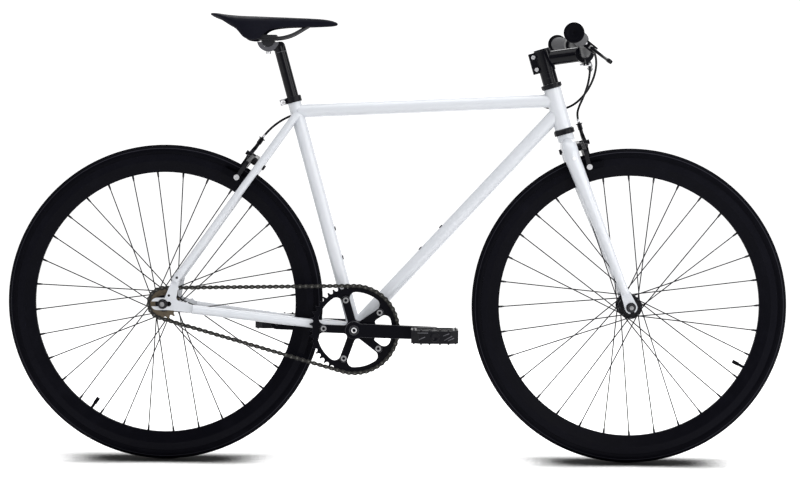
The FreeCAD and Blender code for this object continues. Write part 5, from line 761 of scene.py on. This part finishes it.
CHAIN_PITCH = 12.7 * MM
CHAIN_MIDDLE_Y = -42 * MM
OUTER_PLATE_Y = 2.9 * MM
PLATE_MOST = 1.5 * MM
PLATE_END_REACH = 8 * MM
RIVET_PROFILE = in_mm((2.2, -0.2), (2.2, 0.15), (1.7, 0.5), (0.8, 0.55))


def chain_rivets():
    """Riveted pin ends on the outer plates."""
    seats = []
    for places in islands("chain"):
        ys = [place.y for place in places]
        side = middle(places).y - CHAIN_MIDDLE_Y
        if max(ys) - min(ys) > PLATE_MOST or abs(side) < OUTER_PLATE_Y:
            continue
        ends = bar_ends(places, PLATE_END_REACH)
        run = (ends[1] - ends[0]).normalized()
        centre = middle(places)
        face = max(ys) if side > 0 else min(ys)
        for way in (-0.5, 0.5):
            pin = centre + run * (way * CHAIN_PITCH)
            seats.append((Vector((pin.x, face, pin.z)), Vector((0, math.copysign(1, side), 0))))
    rivet = steel("rivet_steel", RIVET_LIGHT, RIVET_DARK, 0.3, 0.9, RIVET_ROUND)
    lathes("chain_rivets", RIVET_PROFILE, seats, PIN_SIDES, rivet, "frame", "chain_steel")


# Grips

BAR_END = Vector((353.090, 280.0, 905.331)) * MM
BAR_END_RUN = Vector((-0.16864, 0.98422, 0.05363))
GRIP_RIBS = 15
GRIP_START = -128 * MM
GRIP_RIB_PITCH = 8.1 * MM
GRIP_HIGH = 15.5 * MM
GRIP_LOW = 14.2 * MM
# Faces below this radius are painted black as shade in the valleys between the ribs
GRIP_SHADE_RADIUS = 14.5 * MM
GRIP_FLANGE_START = -4.6 * MM
GRIP_BORE = 11.2 * MM
GRIP_END_RADIUS = 14.6 * MM
GRIP_END_ROUND = 0.2 * MM
GRIP_FIRST_RIB = 0.6 * MM
GRIP_RIB_SHARES = ((GRIP_LOW, 0.0), (GRIP_HIGH, 0.12), (GRIP_HIGH, 0.60), (GRIP_LOW, 0.72))
GRIP_CAP = in_mm((15.0, -4.6), (20.2, -4.1), (21.0, -3.2), (21.0, 1.6), (20.3, 2.6), (19.2, 3.0),
                 (13.2, 3.0), (12.6, 2.5), (8.0, 2.2), (3.4, 2.2), (2.9, 1.9), (2.6, 0.4))


def mirrored(place):
    return Vector((place.x, -place.y, place.z))


def grips():
    """Ribbed grey sleeves, their valleys painted black as shade, with a black mushroom flange and a holed
    end.
    """
    profile = [(GRIP_BORE, GRIP_START), (GRIP_END_RADIUS, GRIP_START + GRIP_END_ROUND)]
    for rib in range(GRIP_RIBS):
        start = GRIP_START + GRIP_FIRST_RIB + rib * GRIP_RIB_PITCH
        for radius, share in GRIP_RIB_SHARES:
            profile.append((radius, start + share * GRIP_RIB_PITCH))
    profile += GRIP_CAP
    seats = [(BAR_END, BAR_END_RUN), (mirrored(BAR_END), mirrored(BAR_END_RUN))]
    sleeve = rubber("grip_sleeve", 0.6, GRIP_GREY, GRIP_GREY)
    piece = lathes("grip_pair", profile, seats, GRIP_SIDES, sleeve, "fork", "grip_rubber")
    piece.data.materials.append(rubber("grip_rubber", 0.5))
    # The black flange is the grip's own colour; the black in the valleys between the ribs is painted shade.
    for polygon in piece.data.polygons:
        place = polygon.center if polygon.center.y > 0 else mirrored(polygon.center)
        along, off_axis = axis_place(place, BAR_END, BAR_END_RUN)
        if along > GRIP_FLANGE_START or off_axis < GRIP_SHADE_RADIUS:
            polygon.material_index = 1
    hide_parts("grips")


# Pedals

PEDAL_HALF_LENGTH = 49 * MM
PEDAL_INNER_Y = 78 * MM
PEDAL_OUTER_Y = 170 * MM
PEDAL_HALF_HEIGHT = 13.5 * MM
PEDAL_RAIL_MIDDLE = 5.5 * MM
PEDAL_WALL_MIDDLE = 4.5 * MM
PIN_PROFILE = in_mm((2.1, -0.5), (2.1, 1.7), (1.6, 2.4), (0.6, 2.5))
RAIL_PIN_SHARES = (0.25, 0.42, 0.58, 0.75)
WALL_PIN_SHARES = (-0.58, -0.22, 0.22, 0.58)
# Slanted grey ribs whose grey paints highlights on the pedals' outer walls
PEDAL_HIGHLIGHT_RIB_RADIUS = 0.9 * MM
PEDAL_HIGHLIGHT_RIB_LINES = (
    in_mm((-33, -5), (-20, 1)), in_mm((17, 3), (30, 8)), in_mm((20, -6), (36, 3)), in_mm((27, -7), (40, -1)),
    in_mm((-36, 9), (-14, 9)))
PEDAL_CAP_PROFILE = in_mm((10.5, -1.0), (10.5, 0.8), (9.4, 1.6), (5.0, 1.6), (4.4, 1.0), (0.8, 0.9))


def pedal_details(dark, grey):
    """Grip pins on the rails and end walls, a dust cap on each barrel and slanted grey ribs on the outer
    wall, whose grey is a painted highlight.
    """
    cap = moulded_plastic("cap_plastic", 0.3)
    for side, sign in (("right", -1), ("left", 1)):
        eye = Vector(JOINTS[f"pedal_{side}_spin"]["pos_m"])
        tops = []
        for share in RAIL_PIN_SHARES:
            y = sign * (PEDAL_INNER_Y + share * (PEDAL_OUTER_Y - PEDAL_INNER_Y))
            rail = PEDAL_HALF_LENGTH - PEDAL_RAIL_MIDDLE
            tops += [(-rail, y), (rail, y)]
        wall = sign * (PEDAL_OUTER_Y - PEDAL_WALL_MIDDLE)
        tops += [(share * PEDAL_HALF_LENGTH, wall) for share in WALL_PIN_SHARES]
        seats = []
        for x, y in tops:
            for up in (-1, 1):
                seats.append((Vector((eye.x + x, y, eye.z + up * PEDAL_HALF_HEIGHT)), Vector((0, 0, up))))
        lathes(f"pedal_{side}_pins", PIN_PROFILE, seats, PIN_SIDES, dark, f"pedal_{side}", "black_steel")
        # The grey of these ribs is a painted highlight.
        for index, ends in enumerate(PEDAL_HIGHLIGHT_RIB_LINES):
            line = [Vector((eye.x + x, sign * PEDAL_OUTER_Y, eye.z + z)) for x, z in ends]
            tube(f"pedal_{side}_rib_{index}", line, PEDAL_HIGHLIGHT_RIB_RADIUS, WIRE_SIDES, grey, f"pedal_{side}")
        lathe(f"pedal_{side}_cap", PEDAL_CAP_PROFILE, (eye.x, sign * PEDAL_OUTER_Y, eye.z), (0, sign, 0),
              DISC_SIDES, cap, f"pedal_{side}", "black_plastic")


# Brake levers

LEVER_FRAME_PLACE = Vector((376.532, 143.194, 897.876)) * MM
LEVER_REACH = Vector((0.7707, 0.1655, -0.6153))
LEVER_LINE = in_mm((0, 32), (12, 40), (24, 54), (36, 63), (60, 73.5), (86, 81), (102, 85.5), (113, 90))
LEVER_WIDTH_SHARES = (
    (0.0, 1.0), (0.16, 0.86), (0.35, 0.78), (0.62, 0.68), (0.86, 0.62), (0.94, 0.76), (1.0, 0.72))
LEVER_DEPTH_SHARES = ((0.0, 1.0), (0.80, 1.0), (0.92, 1.40), (1.0, 1.15))
LEVER_HALF_WIDTH = 7.4 * MM
LEVER_HALF_DEPTH = 3.4 * MM
LEVER_SIDES = 20
LEVER_ROUNDING = 0.45


def share_between(table, share):
    """Value at a share of the way, from a table of shares and values."""
    for (low, first), (high, last) in zip(table, table[1:]):
        if share <= high:
            return first + (last - first) * (share - low) / (high - low)
    return table[-1][1]


def lever_blades(alloy):
    """Curved forged blades with a rounded tip, in place of the straight ones."""
    normal = BAR_END_RUN.cross(LEVER_REACH).normalized()
    route = [LEVER_FRAME_PLACE + BAR_END_RUN * out + LEVER_REACH * reach for out, reach in LEVER_LINE]
    line = spline_points(route)
    for side, flip in (("left", Vector), ("right", mirrored)):
        points = []
        for index, place in enumerate(line):
            across = normal.cross(run_at(line, index))
            share = index / (len(line) - 1)
            half = LEVER_HALF_WIDTH * share_between(LEVER_WIDTH_SHARES, share)
            depth = LEVER_HALF_DEPTH * share_between(LEVER_DEPTH_SHARES, share)
            for turn in circle(LEVER_SIDES):
                wide, deep = (math.copysign(abs(part) ** LEVER_ROUNDING, part) for part in turn)
                points.append(flip(place + across * (half * wide) + normal * (depth * deep)))
        faces = ring_faces(len(line), LEVER_SIDES)
        body = f"brake_lever_{side}"
        piece = mesh_object(f"{body}_blade", points, faces, alloy, body)
        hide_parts(f"brake_lever_{side}")


# Small fittings

EYELET_PROFILE = in_mm((2.7, -0.8), (2.7, 0.15), (2.2, 0.35), (0.6, 0.3))
RAY_START_Y = -300 * MM
DROPOUT_EYELET = Vector((13 * MM, 0, 18 * MM))
STAY_EYELET = Vector((30 * MM, 0, 56 * MM))
SOCKET_DEPTH = 0.25 * MM
SOCKET_CENTRE_SHARES = (0.3, 0.5)
RING_BOLTS = 5
RING_BOLT_RADIUS = 65 * MM
RING_BOLT_SOCKET = 3.4 * MM
CRANK_BOLT_SOCKET = 3.6 * MM
CRANK_FACE_RADIUS = 8 * MM
CRANK_RING_PROFILE = in_mm((3.8, -0.2), (3.8, 0.45), (5.8, 0.45), (5.8, -0.2))
SEAT_BOLT_PROFILE = in_mm((5.6, -0.6), (5.6, 3.2), (4.9, 4.0), (3.0, 4.0), (2.8, 1.8), (0.5, 1.7))
PLUG_PROFILE = in_mm((4.2, -1.0), (4.2, 0.2), (3.4, 0.6), (0.8, 0.7))
LEVER_BOLT_REACH = 13 * MM
LEVER_BOLT_SIDES = 14
LEVER_BOLT_PROFILE = in_mm((3.0, -1.0), (3.0, 1.2), (2.6, 1.6), (0.6, 1.6))
FORK_EYELET = Vector((372 * MM, 0, 651 * MM))


def skin_place(place, *nodes):
    """First point and normal of the CAD nodes met from the chain side at a place."""
    found = []
    for node in nodes:
        hit, point, normal, _ = frame["nodes"][node].ray_cast((place.x, RAY_START_Y, place.z), (0, 1, 0))
        if hit:
            found.append((point.y, point, normal))
    nearest = min(found, key=lambda entry: entry[0])
    return nearest[1], nearest[2]


def socket_profile(radius):
    """Shallow disc with a dished face."""
    across, deep = SOCKET_CENTRE_SHARES
    return (radius, -SOCKET_DEPTH), (radius, SOCKET_DEPTH), (across * radius, deep * SOCKET_DEPTH)


def small_fittings(parts):
    """Sockets of the crank's bolts as dark discs that paint the shade inside them, bolts of the seat and
    lever clamps, the frame's eyelets as dark discs that paint the shade of their holes, and the fork's
    eyelet.
    """
    arm = Vector(JOINTS["pedal_right_spin"]["pos_m"]) - BOTTOM_BRACKET
    start = math.atan2(arm.z, arm.x)
    bolts = []
    for index in range(RING_BOLTS):
        angle = start + math.pi * (2 * index + 1) / RING_BOLTS
        place = BOTTOM_BRACKET + Vector((math.cos(angle), 0, math.sin(angle))) * RING_BOLT_RADIUS
        bolts.append(skin_place(place, "crank_bolts"))
    # The sockets are dark discs: painted shade in the bolts' hollows.
    dark = rubber("socket_painted_shade", 0.6)
    lathes("ring_bolt_sockets", socket_profile(RING_BOLT_SOCKET), bolts, HEX_SIDES, dark, "crankset",
           "black_steel")
    face, out = skin_place(BOTTOM_BRACKET + Vector((0, 0, CRANK_FACE_RADIUS)), "crank_bolts")
    centre = Vector((BOTTOM_BRACKET.x, face.y, BOTTOM_BRACKET.z))
    lathe("crank_bolt_socket", socket_profile(CRANK_BOLT_SOCKET), centre, out, HEX_SIDES, dark, "crankset",
          "black_steel")
    lathe("crank_bolt_ring", CRANK_RING_PROFILE, centre, out, DISC_SIDES, parts["bright"], "crankset",
          "bright_steel", True)
    ear = [polygon.center for polygon in frame["nodes"]["seat_clamp"].data.polygons
           if behind_collar(polygon.center)]
    seat_bolt = skin_place(middle(ear), "seat_clamp")
    lathe("seat_clamp_bolt", SEAT_BOLT_PROFILE, *seat_bolt, SEAT_BOLT_SIDES, parts["bright"], "frame",
          "bright_steel")
    bracket = mirrored(LEVER_FRAME_PLACE + LEVER_REACH * LEVER_BOLT_REACH)
    place, normal = skin_place(bracket, "brake_lever_brackets")
    seats = [(place, normal), (mirrored(place), mirrored(normal))]
    lathes("lever_clamp_bolts", LEVER_BOLT_PROFILE, seats, LEVER_BOLT_SIDES, parts["bright"], "fork",
           "bright_steel")
    # The frame's eyelets are dark discs that paint the shade in their threaded holes.
    seats = [skin_place(REAR_AXLE + eyelet, "seat_stays", "rear_dropouts")
             for eyelet in (STAY_EYELET, DROPOUT_EYELET)]
    lathes("frame_eyelets", EYELET_PROFILE, seats, FITTING_SIDES, parts["dark_steel"], "frame", "black_steel")
    plug = rubber("eyelet_plug", 0.4, PLUG_WHITE, PLUG_SHADE)
    seats = [skin_place(FORK_EYELET, "fork_blades", "fork_steerer")]
    lathes("fork_eyelet", PLUG_PROFILE, seats, FITTING_SIDES, plug, "fork", "white_paint")


# Seatpost head

POST_TOP = CRADLE + Vector((23.5 * MM, 0, -13 * MM))
POST_RING_DROP = 12 * MM
POST_RING_PROFILE = in_mm((12.6, -0.5), (13.0, -0.5), (13.0, 0.5), (12.6, 0.5))
POST_HEAD_HALF_WIDTH = 11.5 * MM
POST_HEAD_ROUND = 2.2 * MM
POST_HEAD_STEPS = 4
POST_HEAD_OUTLINE = in_mm((21.8, -2.5), (31, -2.8), (35.5, -8), (31.5, -22), (19, -25.5), (10.5, -21.8),
                          (9.2, -16.6), (13.8, -13.2), (17.6, -7.4))


def seatpost_head(parts):
    """Forged bridge from the tube's top to the cradle, and the ring turned below it."""
    faces = ring_faces(2, len(POST_HEAD_OUTLINE))
    points = [CRADLE + Vector((x, side * POST_HEAD_HALF_WIDTH, z))
              for side in (-1, 1) for x, z in POST_HEAD_OUTLINE]
    head = mesh_object("seatpost_head", points, faces, parts["post"], "seatpost")
    soft = head.modifiers.new("soft_edges", "BEVEL")
    soft.width = POST_HEAD_ROUND
    soft.segments = POST_HEAD_STEPS
    along = (POST_TOP - BOTTOM_BRACKET).dot(SEAT_UP) - POST_RING_DROP
    lathe("seatpost_ring", POST_RING_PROFILE, BOTTOM_BRACKET + SEAT_UP * along, SEAT_UP, GRIP_SIDES,
          parts["grey"], "seatpost", "black_metal", True)


# Brake fittings

CABLE_SIDE_Y = 46 * MM
WIRE_RADIUS = 0.8 * MM
WIRE_LINE = in_mm((7.2, 21.2), (-4, 21.2), (-18, 21.6), (-32, 22.6), (-42, 24))
WIRE_CAP_PROFILE = in_mm((1.0, -1), (1.4, -0.6), (1.4, 7), (0.6, 7.6))
BOOT_UP = 14 * MM
BOOT_OUT = 21.2 * MM
BOOT_PROFILE = in_mm((2.3, -0.1), (3.9, -0.1), (3.8, -3), (3.1, -7.4), (2.3, -7.4))
PIVOT_RAY = 80 * MM
PIVOT_NUT_PROFILE = in_mm((5.6, 0.05), (5.6, 3.6), (5.0, 4.2), (0.8, 4.2))
PIVOT_END_PROFILE = in_mm((3.0, 4.1), (3.0, 6.2), (2.2, 7.2), (0.5, 7.4))


def brake_fittings(parts):
    """Pivot nuts, and the inner wires with their boots and crimped tails."""
    boot = rubber("boot_rubber", 0.5)
    for wheel, holder, way in (("front", "fork", 1), ("rear", "frame", -1)):
        joint = JOINTS[f"{wheel}_caliper_right_close"]
        pivot = Vector(joint["pos_m"])
        out = Vector(joint["axis"]) * way
        up = Vector((-out.z, 0, out.x)) * way
        side = Vector((0, CABLE_SIDE_Y, 0))
        line = spline_points([pivot + side + up * high + out * far for high, far in WIRE_LINE])
        right = f"{wheel}_caliper_right"
        left = f"{wheel}_caliper_left"
        tube(f"{wheel}_brake_wire", line, WIRE_RADIUS, WIRE_SIDES, parts["bolt"], right)
        lathe(f"{wheel}_wire_cap", WIRE_CAP_PROFILE, line[-1], line[-1] - line[-2], WIRE_CAP_SIDES,
              parts["bright"], right, "bright_steel")
        foot = pivot + side + up * BOOT_UP + out * BOOT_OUT
        lathe(f"{wheel}_wire_boot", BOOT_PROFILE, foot, up, FITTING_SIDES, boot, left, "black_plastic", True)
        reach = []
        for node in (f"{wheel}_brake_bracket", right, left):
            hit, point, _, _ = frame["nodes"][node].ray_cast(pivot + out * PIVOT_RAY, -out)
            if hit:
                reach.append((point - pivot).dot(out))
        seat = pivot + out * max(reach)
        dark = parts["dark_steel"]
        lathe(f"{wheel}_pivot_nut", PIVOT_NUT_PROFILE, seat, out, HEX_SIDES, dark, holder, "black_steel")
        lathe(f"{wheel}_pivot_end", PIVOT_END_PROFILE, seat, out, FITTING_SIDES, dark, holder, "black_steel")


# Cables

CABLE_RADIUS = 2.5 * MM
FERRULE_RADIUS = 3.2 * MM
FERRULE_LENGTH = 9 * MM
FERRULE_SHARES = ((0.6, 0.0), (1.0, 0.06), (1.0, 1.0), (0.84, 1.06))
FRONT_CABLE_ROUTE = (
    (393.9, 121.4, 886.1), (396.9, 103.7, 885.1), (404, 84, 880), (410, 66, 865), (411, 53, 841),
    (407, 47.5, 812), (397, 46, 783), (387, 46, 762), (382.5, 46, 743.5), (387.5, 46, 726.2))
LOOP_ROUTE = (
    (393.9, -121.4, 886.1), (396.9, -103.7, 885.1), (407, -83, 879), (415, -60, 864), (417, -37, 840),
    (410, -13, 811), (394, 11, 783), (371, 30, 762), (342, 37, 754), (312, 31, 760), (281.6, 18.3, 771.3),
    (263.6, 18.3, 770.4))
REAR_CABLE_ROUTE = (
    (263.6, 18.3, 770.4), (-141.8, 18.3, 750.5), (-176.7, 18.3, 748.8), (-211, 24, 744), (-235, 33, 736),
    (-258, 42, 724), (-282.9, 46, 703.3), (-293.4, 46, 688.6))
ADJUSTER_PROFILE = in_mm((4.2, -15), (5.2, -14.4), (5.2, -2.6), (7.6, -2.2), (7.6, -0.3), (4.2, 0.1))


def metres(route):
    return [Vector(place) * MM for place in route]


def ferrule(name, place, run, material, body):
    """Crimped end cap of a cable housing."""
    profile = [(wide * FERRULE_RADIUS, along * FERRULE_LENGTH) for wide, along in FERRULE_SHARES]
    lathe(name, profile, place, run, FITTING_SIDES, material, body, "cable_housing")


def housing(name, node, route, material):
    """Smooth cable housing in place of its CAD tube, not riding on anything yet."""
    line = spline_points(metres(route))
    piece = tube(name, line, CABLE_RADIUS, CABLE_SIDES, material, None)
    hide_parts(node)
    return piece


def brake_cables(parts):
    """The three housings, with their ferrules and the calipers' adjusters."""
    plastic = moulded_plastic("cable_plastic", 0.34, 2600.0)
    metal = black_alloy("ferrule_metal", 0.3, FERRULE_ROUND)
    front = housing("front_cable_housing", "front_brake_cable", FRONT_CABLE_ROUTE, plastic)
    ends = metres(FRONT_CABLE_ROUTE)
    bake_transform(front)
    loop = housing("rear_cable_loop_housing", "rear_brake_cable_loop", LOOP_ROUTE, plastic)
    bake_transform(loop)
    rear = housing("rear_cable_housing", "rear_brake_cable", REAR_CABLE_ROUTE, plastic)
    rear_ends = metres(REAR_CABLE_ROUTE)
    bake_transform(rear)
    ferrule("front_cable_ferrule_lever", ends[0], ends[1] - ends[0], metal, "fork")
    for wheel, line in (("front", ends), ("rear", rear_ends)):
        body = f"{wheel}_caliper_left"
        run = line[-2] - line[-1]
        ferrule(f"{wheel}_cable_ferrule_caliper", line[-1], run, parts["bright"], body)
        lathe(f"{wheel}_cable_adjuster", ADJUSTER_PROFILE, line[-1], run, DISC_SIDES, parts["alloy"], body,
              "black_metal")
    loop_ends = metres(LOOP_ROUTE)
    ferrule("rear_cable_ferrule_lever", loop_ends[0], loop_ends[1] - loop_ends[0], metal, "fork")
    ferrule("rear_cable_ferrule_guide", loop_ends[-1], loop_ends[-2] - loop_ends[-1], metal, "frame")


# Saddle

SADDLE_LENGTH = 270 * MM
SADDLE_TAIL = CRADLE.x - 122 * MM
SADDLE_TOP = CRADLE.z + 52 * MM
SADDLE_HALF_WIDTH = 70 * MM
SADDLE_SKIRT = 53 * MM
SADDLE_SHELL = 7 * MM
SADDLE_SHOULDER = 15 * MM
SADDLE_SHOULDER_SHARE = 0.6
SADDLE_SHOULDER_DEPTH_SHARE = 0.5
SADDLE_TUCK_SHARE = 0.12
SADDLE_WALL_DEPTH_SHARE = 0.45
SADDLE_WALL_WIDTH_SHARE = 0.4
SADDLE_SMOOTH_LEVELS = 2
SADDLE_STATION_SHARES = (
    # along from the tail, half width, top and lower edge below the reference plane
    (0.000, 0.30, -0.080, -0.02),
    (0.012, 0.52, -0.092, 0.02),
    (0.035, 0.70, -0.095, 0.07),
    (0.082, 0.88, -0.070, 0.155),
    (0.106, 0.94, -0.045, 0.26),
    (0.177, 1.00, -0.015, 0.46),
    (0.216, 1.00, 0.000, 0.58),
    (0.248, 0.99, 0.008, 0.80),
    (0.277, 0.97, 0.012, 0.955),
    (0.326, 0.925, 0.018, 1.00),
    (0.369, 0.84, 0.024, 1.00),
    (0.398, 0.78, 0.028, 0.93),
    (0.430, 0.69, 0.032, 0.70),
    (0.468, 0.59, 0.038, 0.575),
    (0.510, 0.51, 0.045, 0.52),
    (0.617, 0.38, 0.058, 0.46),
    (0.723, 0.32, 0.078, 0.455),
    (0.865, 0.27, 0.105, 0.43),
    (0.936, 0.237, 0.150, 0.41),
    (0.980, 0.175, 0.215, 0.385),
    (1.000, 0.09, 0.27, 0.35))
SADDLE_SKIN_STEPS = 18


def saddle_skin(half, top, bottom):
    """Half section from the crown's middle to the lower edge, as (y, z) places."""
    depth = top - bottom
    shoulder = min(SADDLE_SHOULDER_DEPTH_SHARE * depth, SADDLE_SHOULDER)
    places = []
    for step in range(SADDLE_SKIN_STEPS + 1):
        share = step / SADDLE_SKIN_STEPS
        if share <= SADDLE_SHOULDER_SHARE:
            angle = share / SADDLE_SHOULDER_SHARE * math.pi / 2
            places.append((half * math.sin(angle), top - shoulder * (1 - math.cos(angle))))
        else:
            down = (share - SADDLE_SHOULDER_SHARE) / (1 - SADDLE_SHOULDER_SHARE)
            y = half * (1 - SADDLE_TUCK_SHARE * down * down)
            places.append((y, top - shoulder - (depth - shoulder) * down))
    return places


def saddle_ring(x, half, top, bottom):
    """Closed section: outer skin over the crown, then back along the hollow underside."""
    skin = saddle_skin(half, top, bottom)
    outer = [Vector((x, -y, z)) for y, z in reversed(skin)]
    outer += [Vector((x, y, z)) for y, z in skin[1:]]
    depth = top - bottom
    wall = min(SADDLE_SHELL, SADDLE_WALL_DEPTH_SHARE * depth, SADDLE_WALL_WIDTH_SHARE * half)
    inner_skin = saddle_skin(half - wall, top - wall, bottom)
    inner = [Vector((x, y, z)) for y, z in reversed(inner_skin)]
    inner += [Vector((x, -y, z)) for y, z in inner_skin[1:]]
    return outer + inner


def saddle_cover():
    """Padded cover with a hollow underside, in place of the CAD saddle."""
    rings = []
    for along, width, top, bottom in SADDLE_STATION_SHARES:
        rings.append(saddle_ring(SADDLE_TAIL + along * SADDLE_LENGTH, width * SADDLE_HALF_WIDTH,
                                 SADDLE_TOP - top * SADDLE_SKIRT, SADDLE_TOP - bottom * SADDLE_SKIRT))
    count = len(rings[0])
    points = [point for ring in rings for point in ring]
    faces = ring_faces(len(rings), count)
    piece = mesh_object("saddle_cover", points, faces, saddle_leather(), "saddle")
    smooth = piece.modifiers.new("smooth", "SUBSURF")
    smooth.levels = SADDLE_SMOOTH_LEVELS
    smooth.render_levels = SADDLE_SMOOTH_LEVELS
    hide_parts("saddle")


# Tyres

TYRE_OUTER = 336.4 * MM
TYRE_HALF_WIDTH = 12.6 * MM
TYRE_BEAD_RADIUS = 316.2 * MM
TYRE_BEAD_HALF = 9.6 * MM
TYRE_SEGMENTS = 200
TYRE_SECTION_STEPS = 44
TREAD_GROOVES = (3.2 * MM, 6.4 * MM)
TREAD_GROOVE_DEPTH = 0.55 * MM
TREAD_GROOVE_HALF = 0.75 * MM
SIDEWALL_RIDGE_SHARES = (0.13, 0.20)
SIDEWALL_RIDGE_HALF_SHARE = 0.012
SIDEWALL_RIDGE_HEIGHT = 0.25 * MM
TYRE_MOUTH_SHARE = 0.7
FILE_PITCH = 1.9 * MM
FILE_SLANT = 1.2
FILE_DEPTH = 0.18 * MM
TREAD_EDGE = (329.5 * MM, 331.0 * MM)
# Radii of the painted highlight line on the tyre
TYRE_HIGHLIGHT_START = (327.9 * MM, 328.4 * MM)
TYRE_HIGHLIGHT_END = (329.0 * MM, 329.5 * MM)


def tyre_profile():
    """Section of the tyre: bead, sidewall ridges, shoulders and a grooved crown, as (radius, y)."""
    core = TYRE_OUTER - TYRE_HALF_WIDTH
    sweep = math.pi / 2 + math.asin((core - TYRE_BEAD_RADIUS) / TYRE_HALF_WIDTH)
    profile = []
    for step in range(TYRE_SECTION_STEPS * 2 + 1):
        share = step / (TYRE_SECTION_STEPS * 2)
        angle = -sweep + 2 * sweep * share
        y = TYRE_HALF_WIDTH * math.sin(angle)
        radius = core + TYRE_HALF_WIDTH * math.cos(angle)
        swell = 0.0
        for groove in TREAD_GROOVES:
            if radius > core and abs(abs(y) - groove) < TREAD_GROOVE_HALF:
                swell = -TREAD_GROOVE_DEPTH * (1 - (abs(abs(y) - groove) / TREAD_GROOVE_HALF) ** 2)
        for ridge in SIDEWALL_RIDGE_SHARES:
            if abs(min(share, 1 - share) - ridge) < SIDEWALL_RIDGE_HALF_SHARE:
                swell = SIDEWALL_RIDGE_HEIGHT
        profile.append((radius + swell * math.cos(angle), y + swell * math.sin(angle)))
    mouth = TYRE_BEAD_HALF * TYRE_MOUTH_SHARE
    return profile + [(TYRE_BEAD_RADIUS, mouth), (TYRE_BEAD_RADIUS, -mouth)]


def tyre_rubber(name, centre):
    """Tyre rubber: a fine file pattern on the tread, smooth dusty sidewalls, and a painted highlight line
    near the tread's edge.
    """
    shader = Shader(name)
    axes = shader.node("ShaderNodeSeparateXYZ", {0: shader.centred(centre)})
    turn = shader.math("ARCTAN2", axes.outputs["Z"], axes.outputs["X"])
    around = shader.times(turn, TYRE_OUTER)
    across = shader.math("ABSOLUTE", axes.outputs["Y"])
    slant = shader.plus(around, shader.times(across, FILE_SLANT))
    back = shader.math("SUBTRACT", around, shader.times(across, FILE_SLANT))
    pitch = 2 * math.pi / FILE_PITCH
    one = shader.math("SINE", shader.times(slant, pitch))
    two = shader.math("SINE", shader.times(back, pitch))
    radius = shader.radius(centre)
    tread = shader.ramp(radius, *TREAD_EDGE)
    file_cut = shader.times(shader.times(one, two), tread)
    grain = shader.noise(scale=1500.0, detail=4.0, roughness=0.7)
    bloom = shader.ramp(shader.noise(scale=22.0, detail=6.0, roughness=0.65), 0.42, 0.78)
    colour = shader.blend(bloom, BLACK_RUBBER, RUBBER_DUST, 0.55)
    colour = shader.blend(tread, colour, RUBBER_DUST, 0.3)
    # A thin paler band near the tread's edge: a painted highlight line.
    line = shader.math("SUBTRACT", shader.ramp(radius, *TYRE_HIGHLIGHT_START), shader.ramp(radius, *TYRE_HIGHLIGHT_END))
    colour = shader.blend(line, colour, TYRE_HIGHLIGHT_GREY, 0.6)
    rough = shader.ramp(tread, 0, 1, 0.50, 0.66)
    height = shader.plus(shader.times(file_cut, 0.6), shader.times(grain, 0.3))
    normal = shader.bump(height, FILE_DEPTH, 0.5)
    return shader.finish(colour, rough, normal, Specular_IOR_Level=TYRE_SHINE)


def tyres():
    for wheel, centre in WHEELS:
        piece = lathe(f"{wheel}_tyre_casing", tyre_profile(), centre, (0, 1, 0), TYRE_SEGMENTS,
                      tyre_rubber(f"{wheel}_tyre_rubber", centre), f"{wheel}_wheel", "tyre_rubber", True)
        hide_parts(f"{wheel}_tyre")


bpy.context.scene.view_settings.view_transform = "Standard"
photo_camera()
studio_sweep()
studio_light()
parts = dress_cad_nodes()
spokes(parts["dark_steel"])
chain_rivets()
grips()
pedal_details(parts["dark_steel"], parts["grey"])
lever_blades(parts["alloy"])
small_fittings(parts)
seatpost_head(parts)
brake_fittings(parts)
brake_cables(parts)
saddle_cover()
tyres()
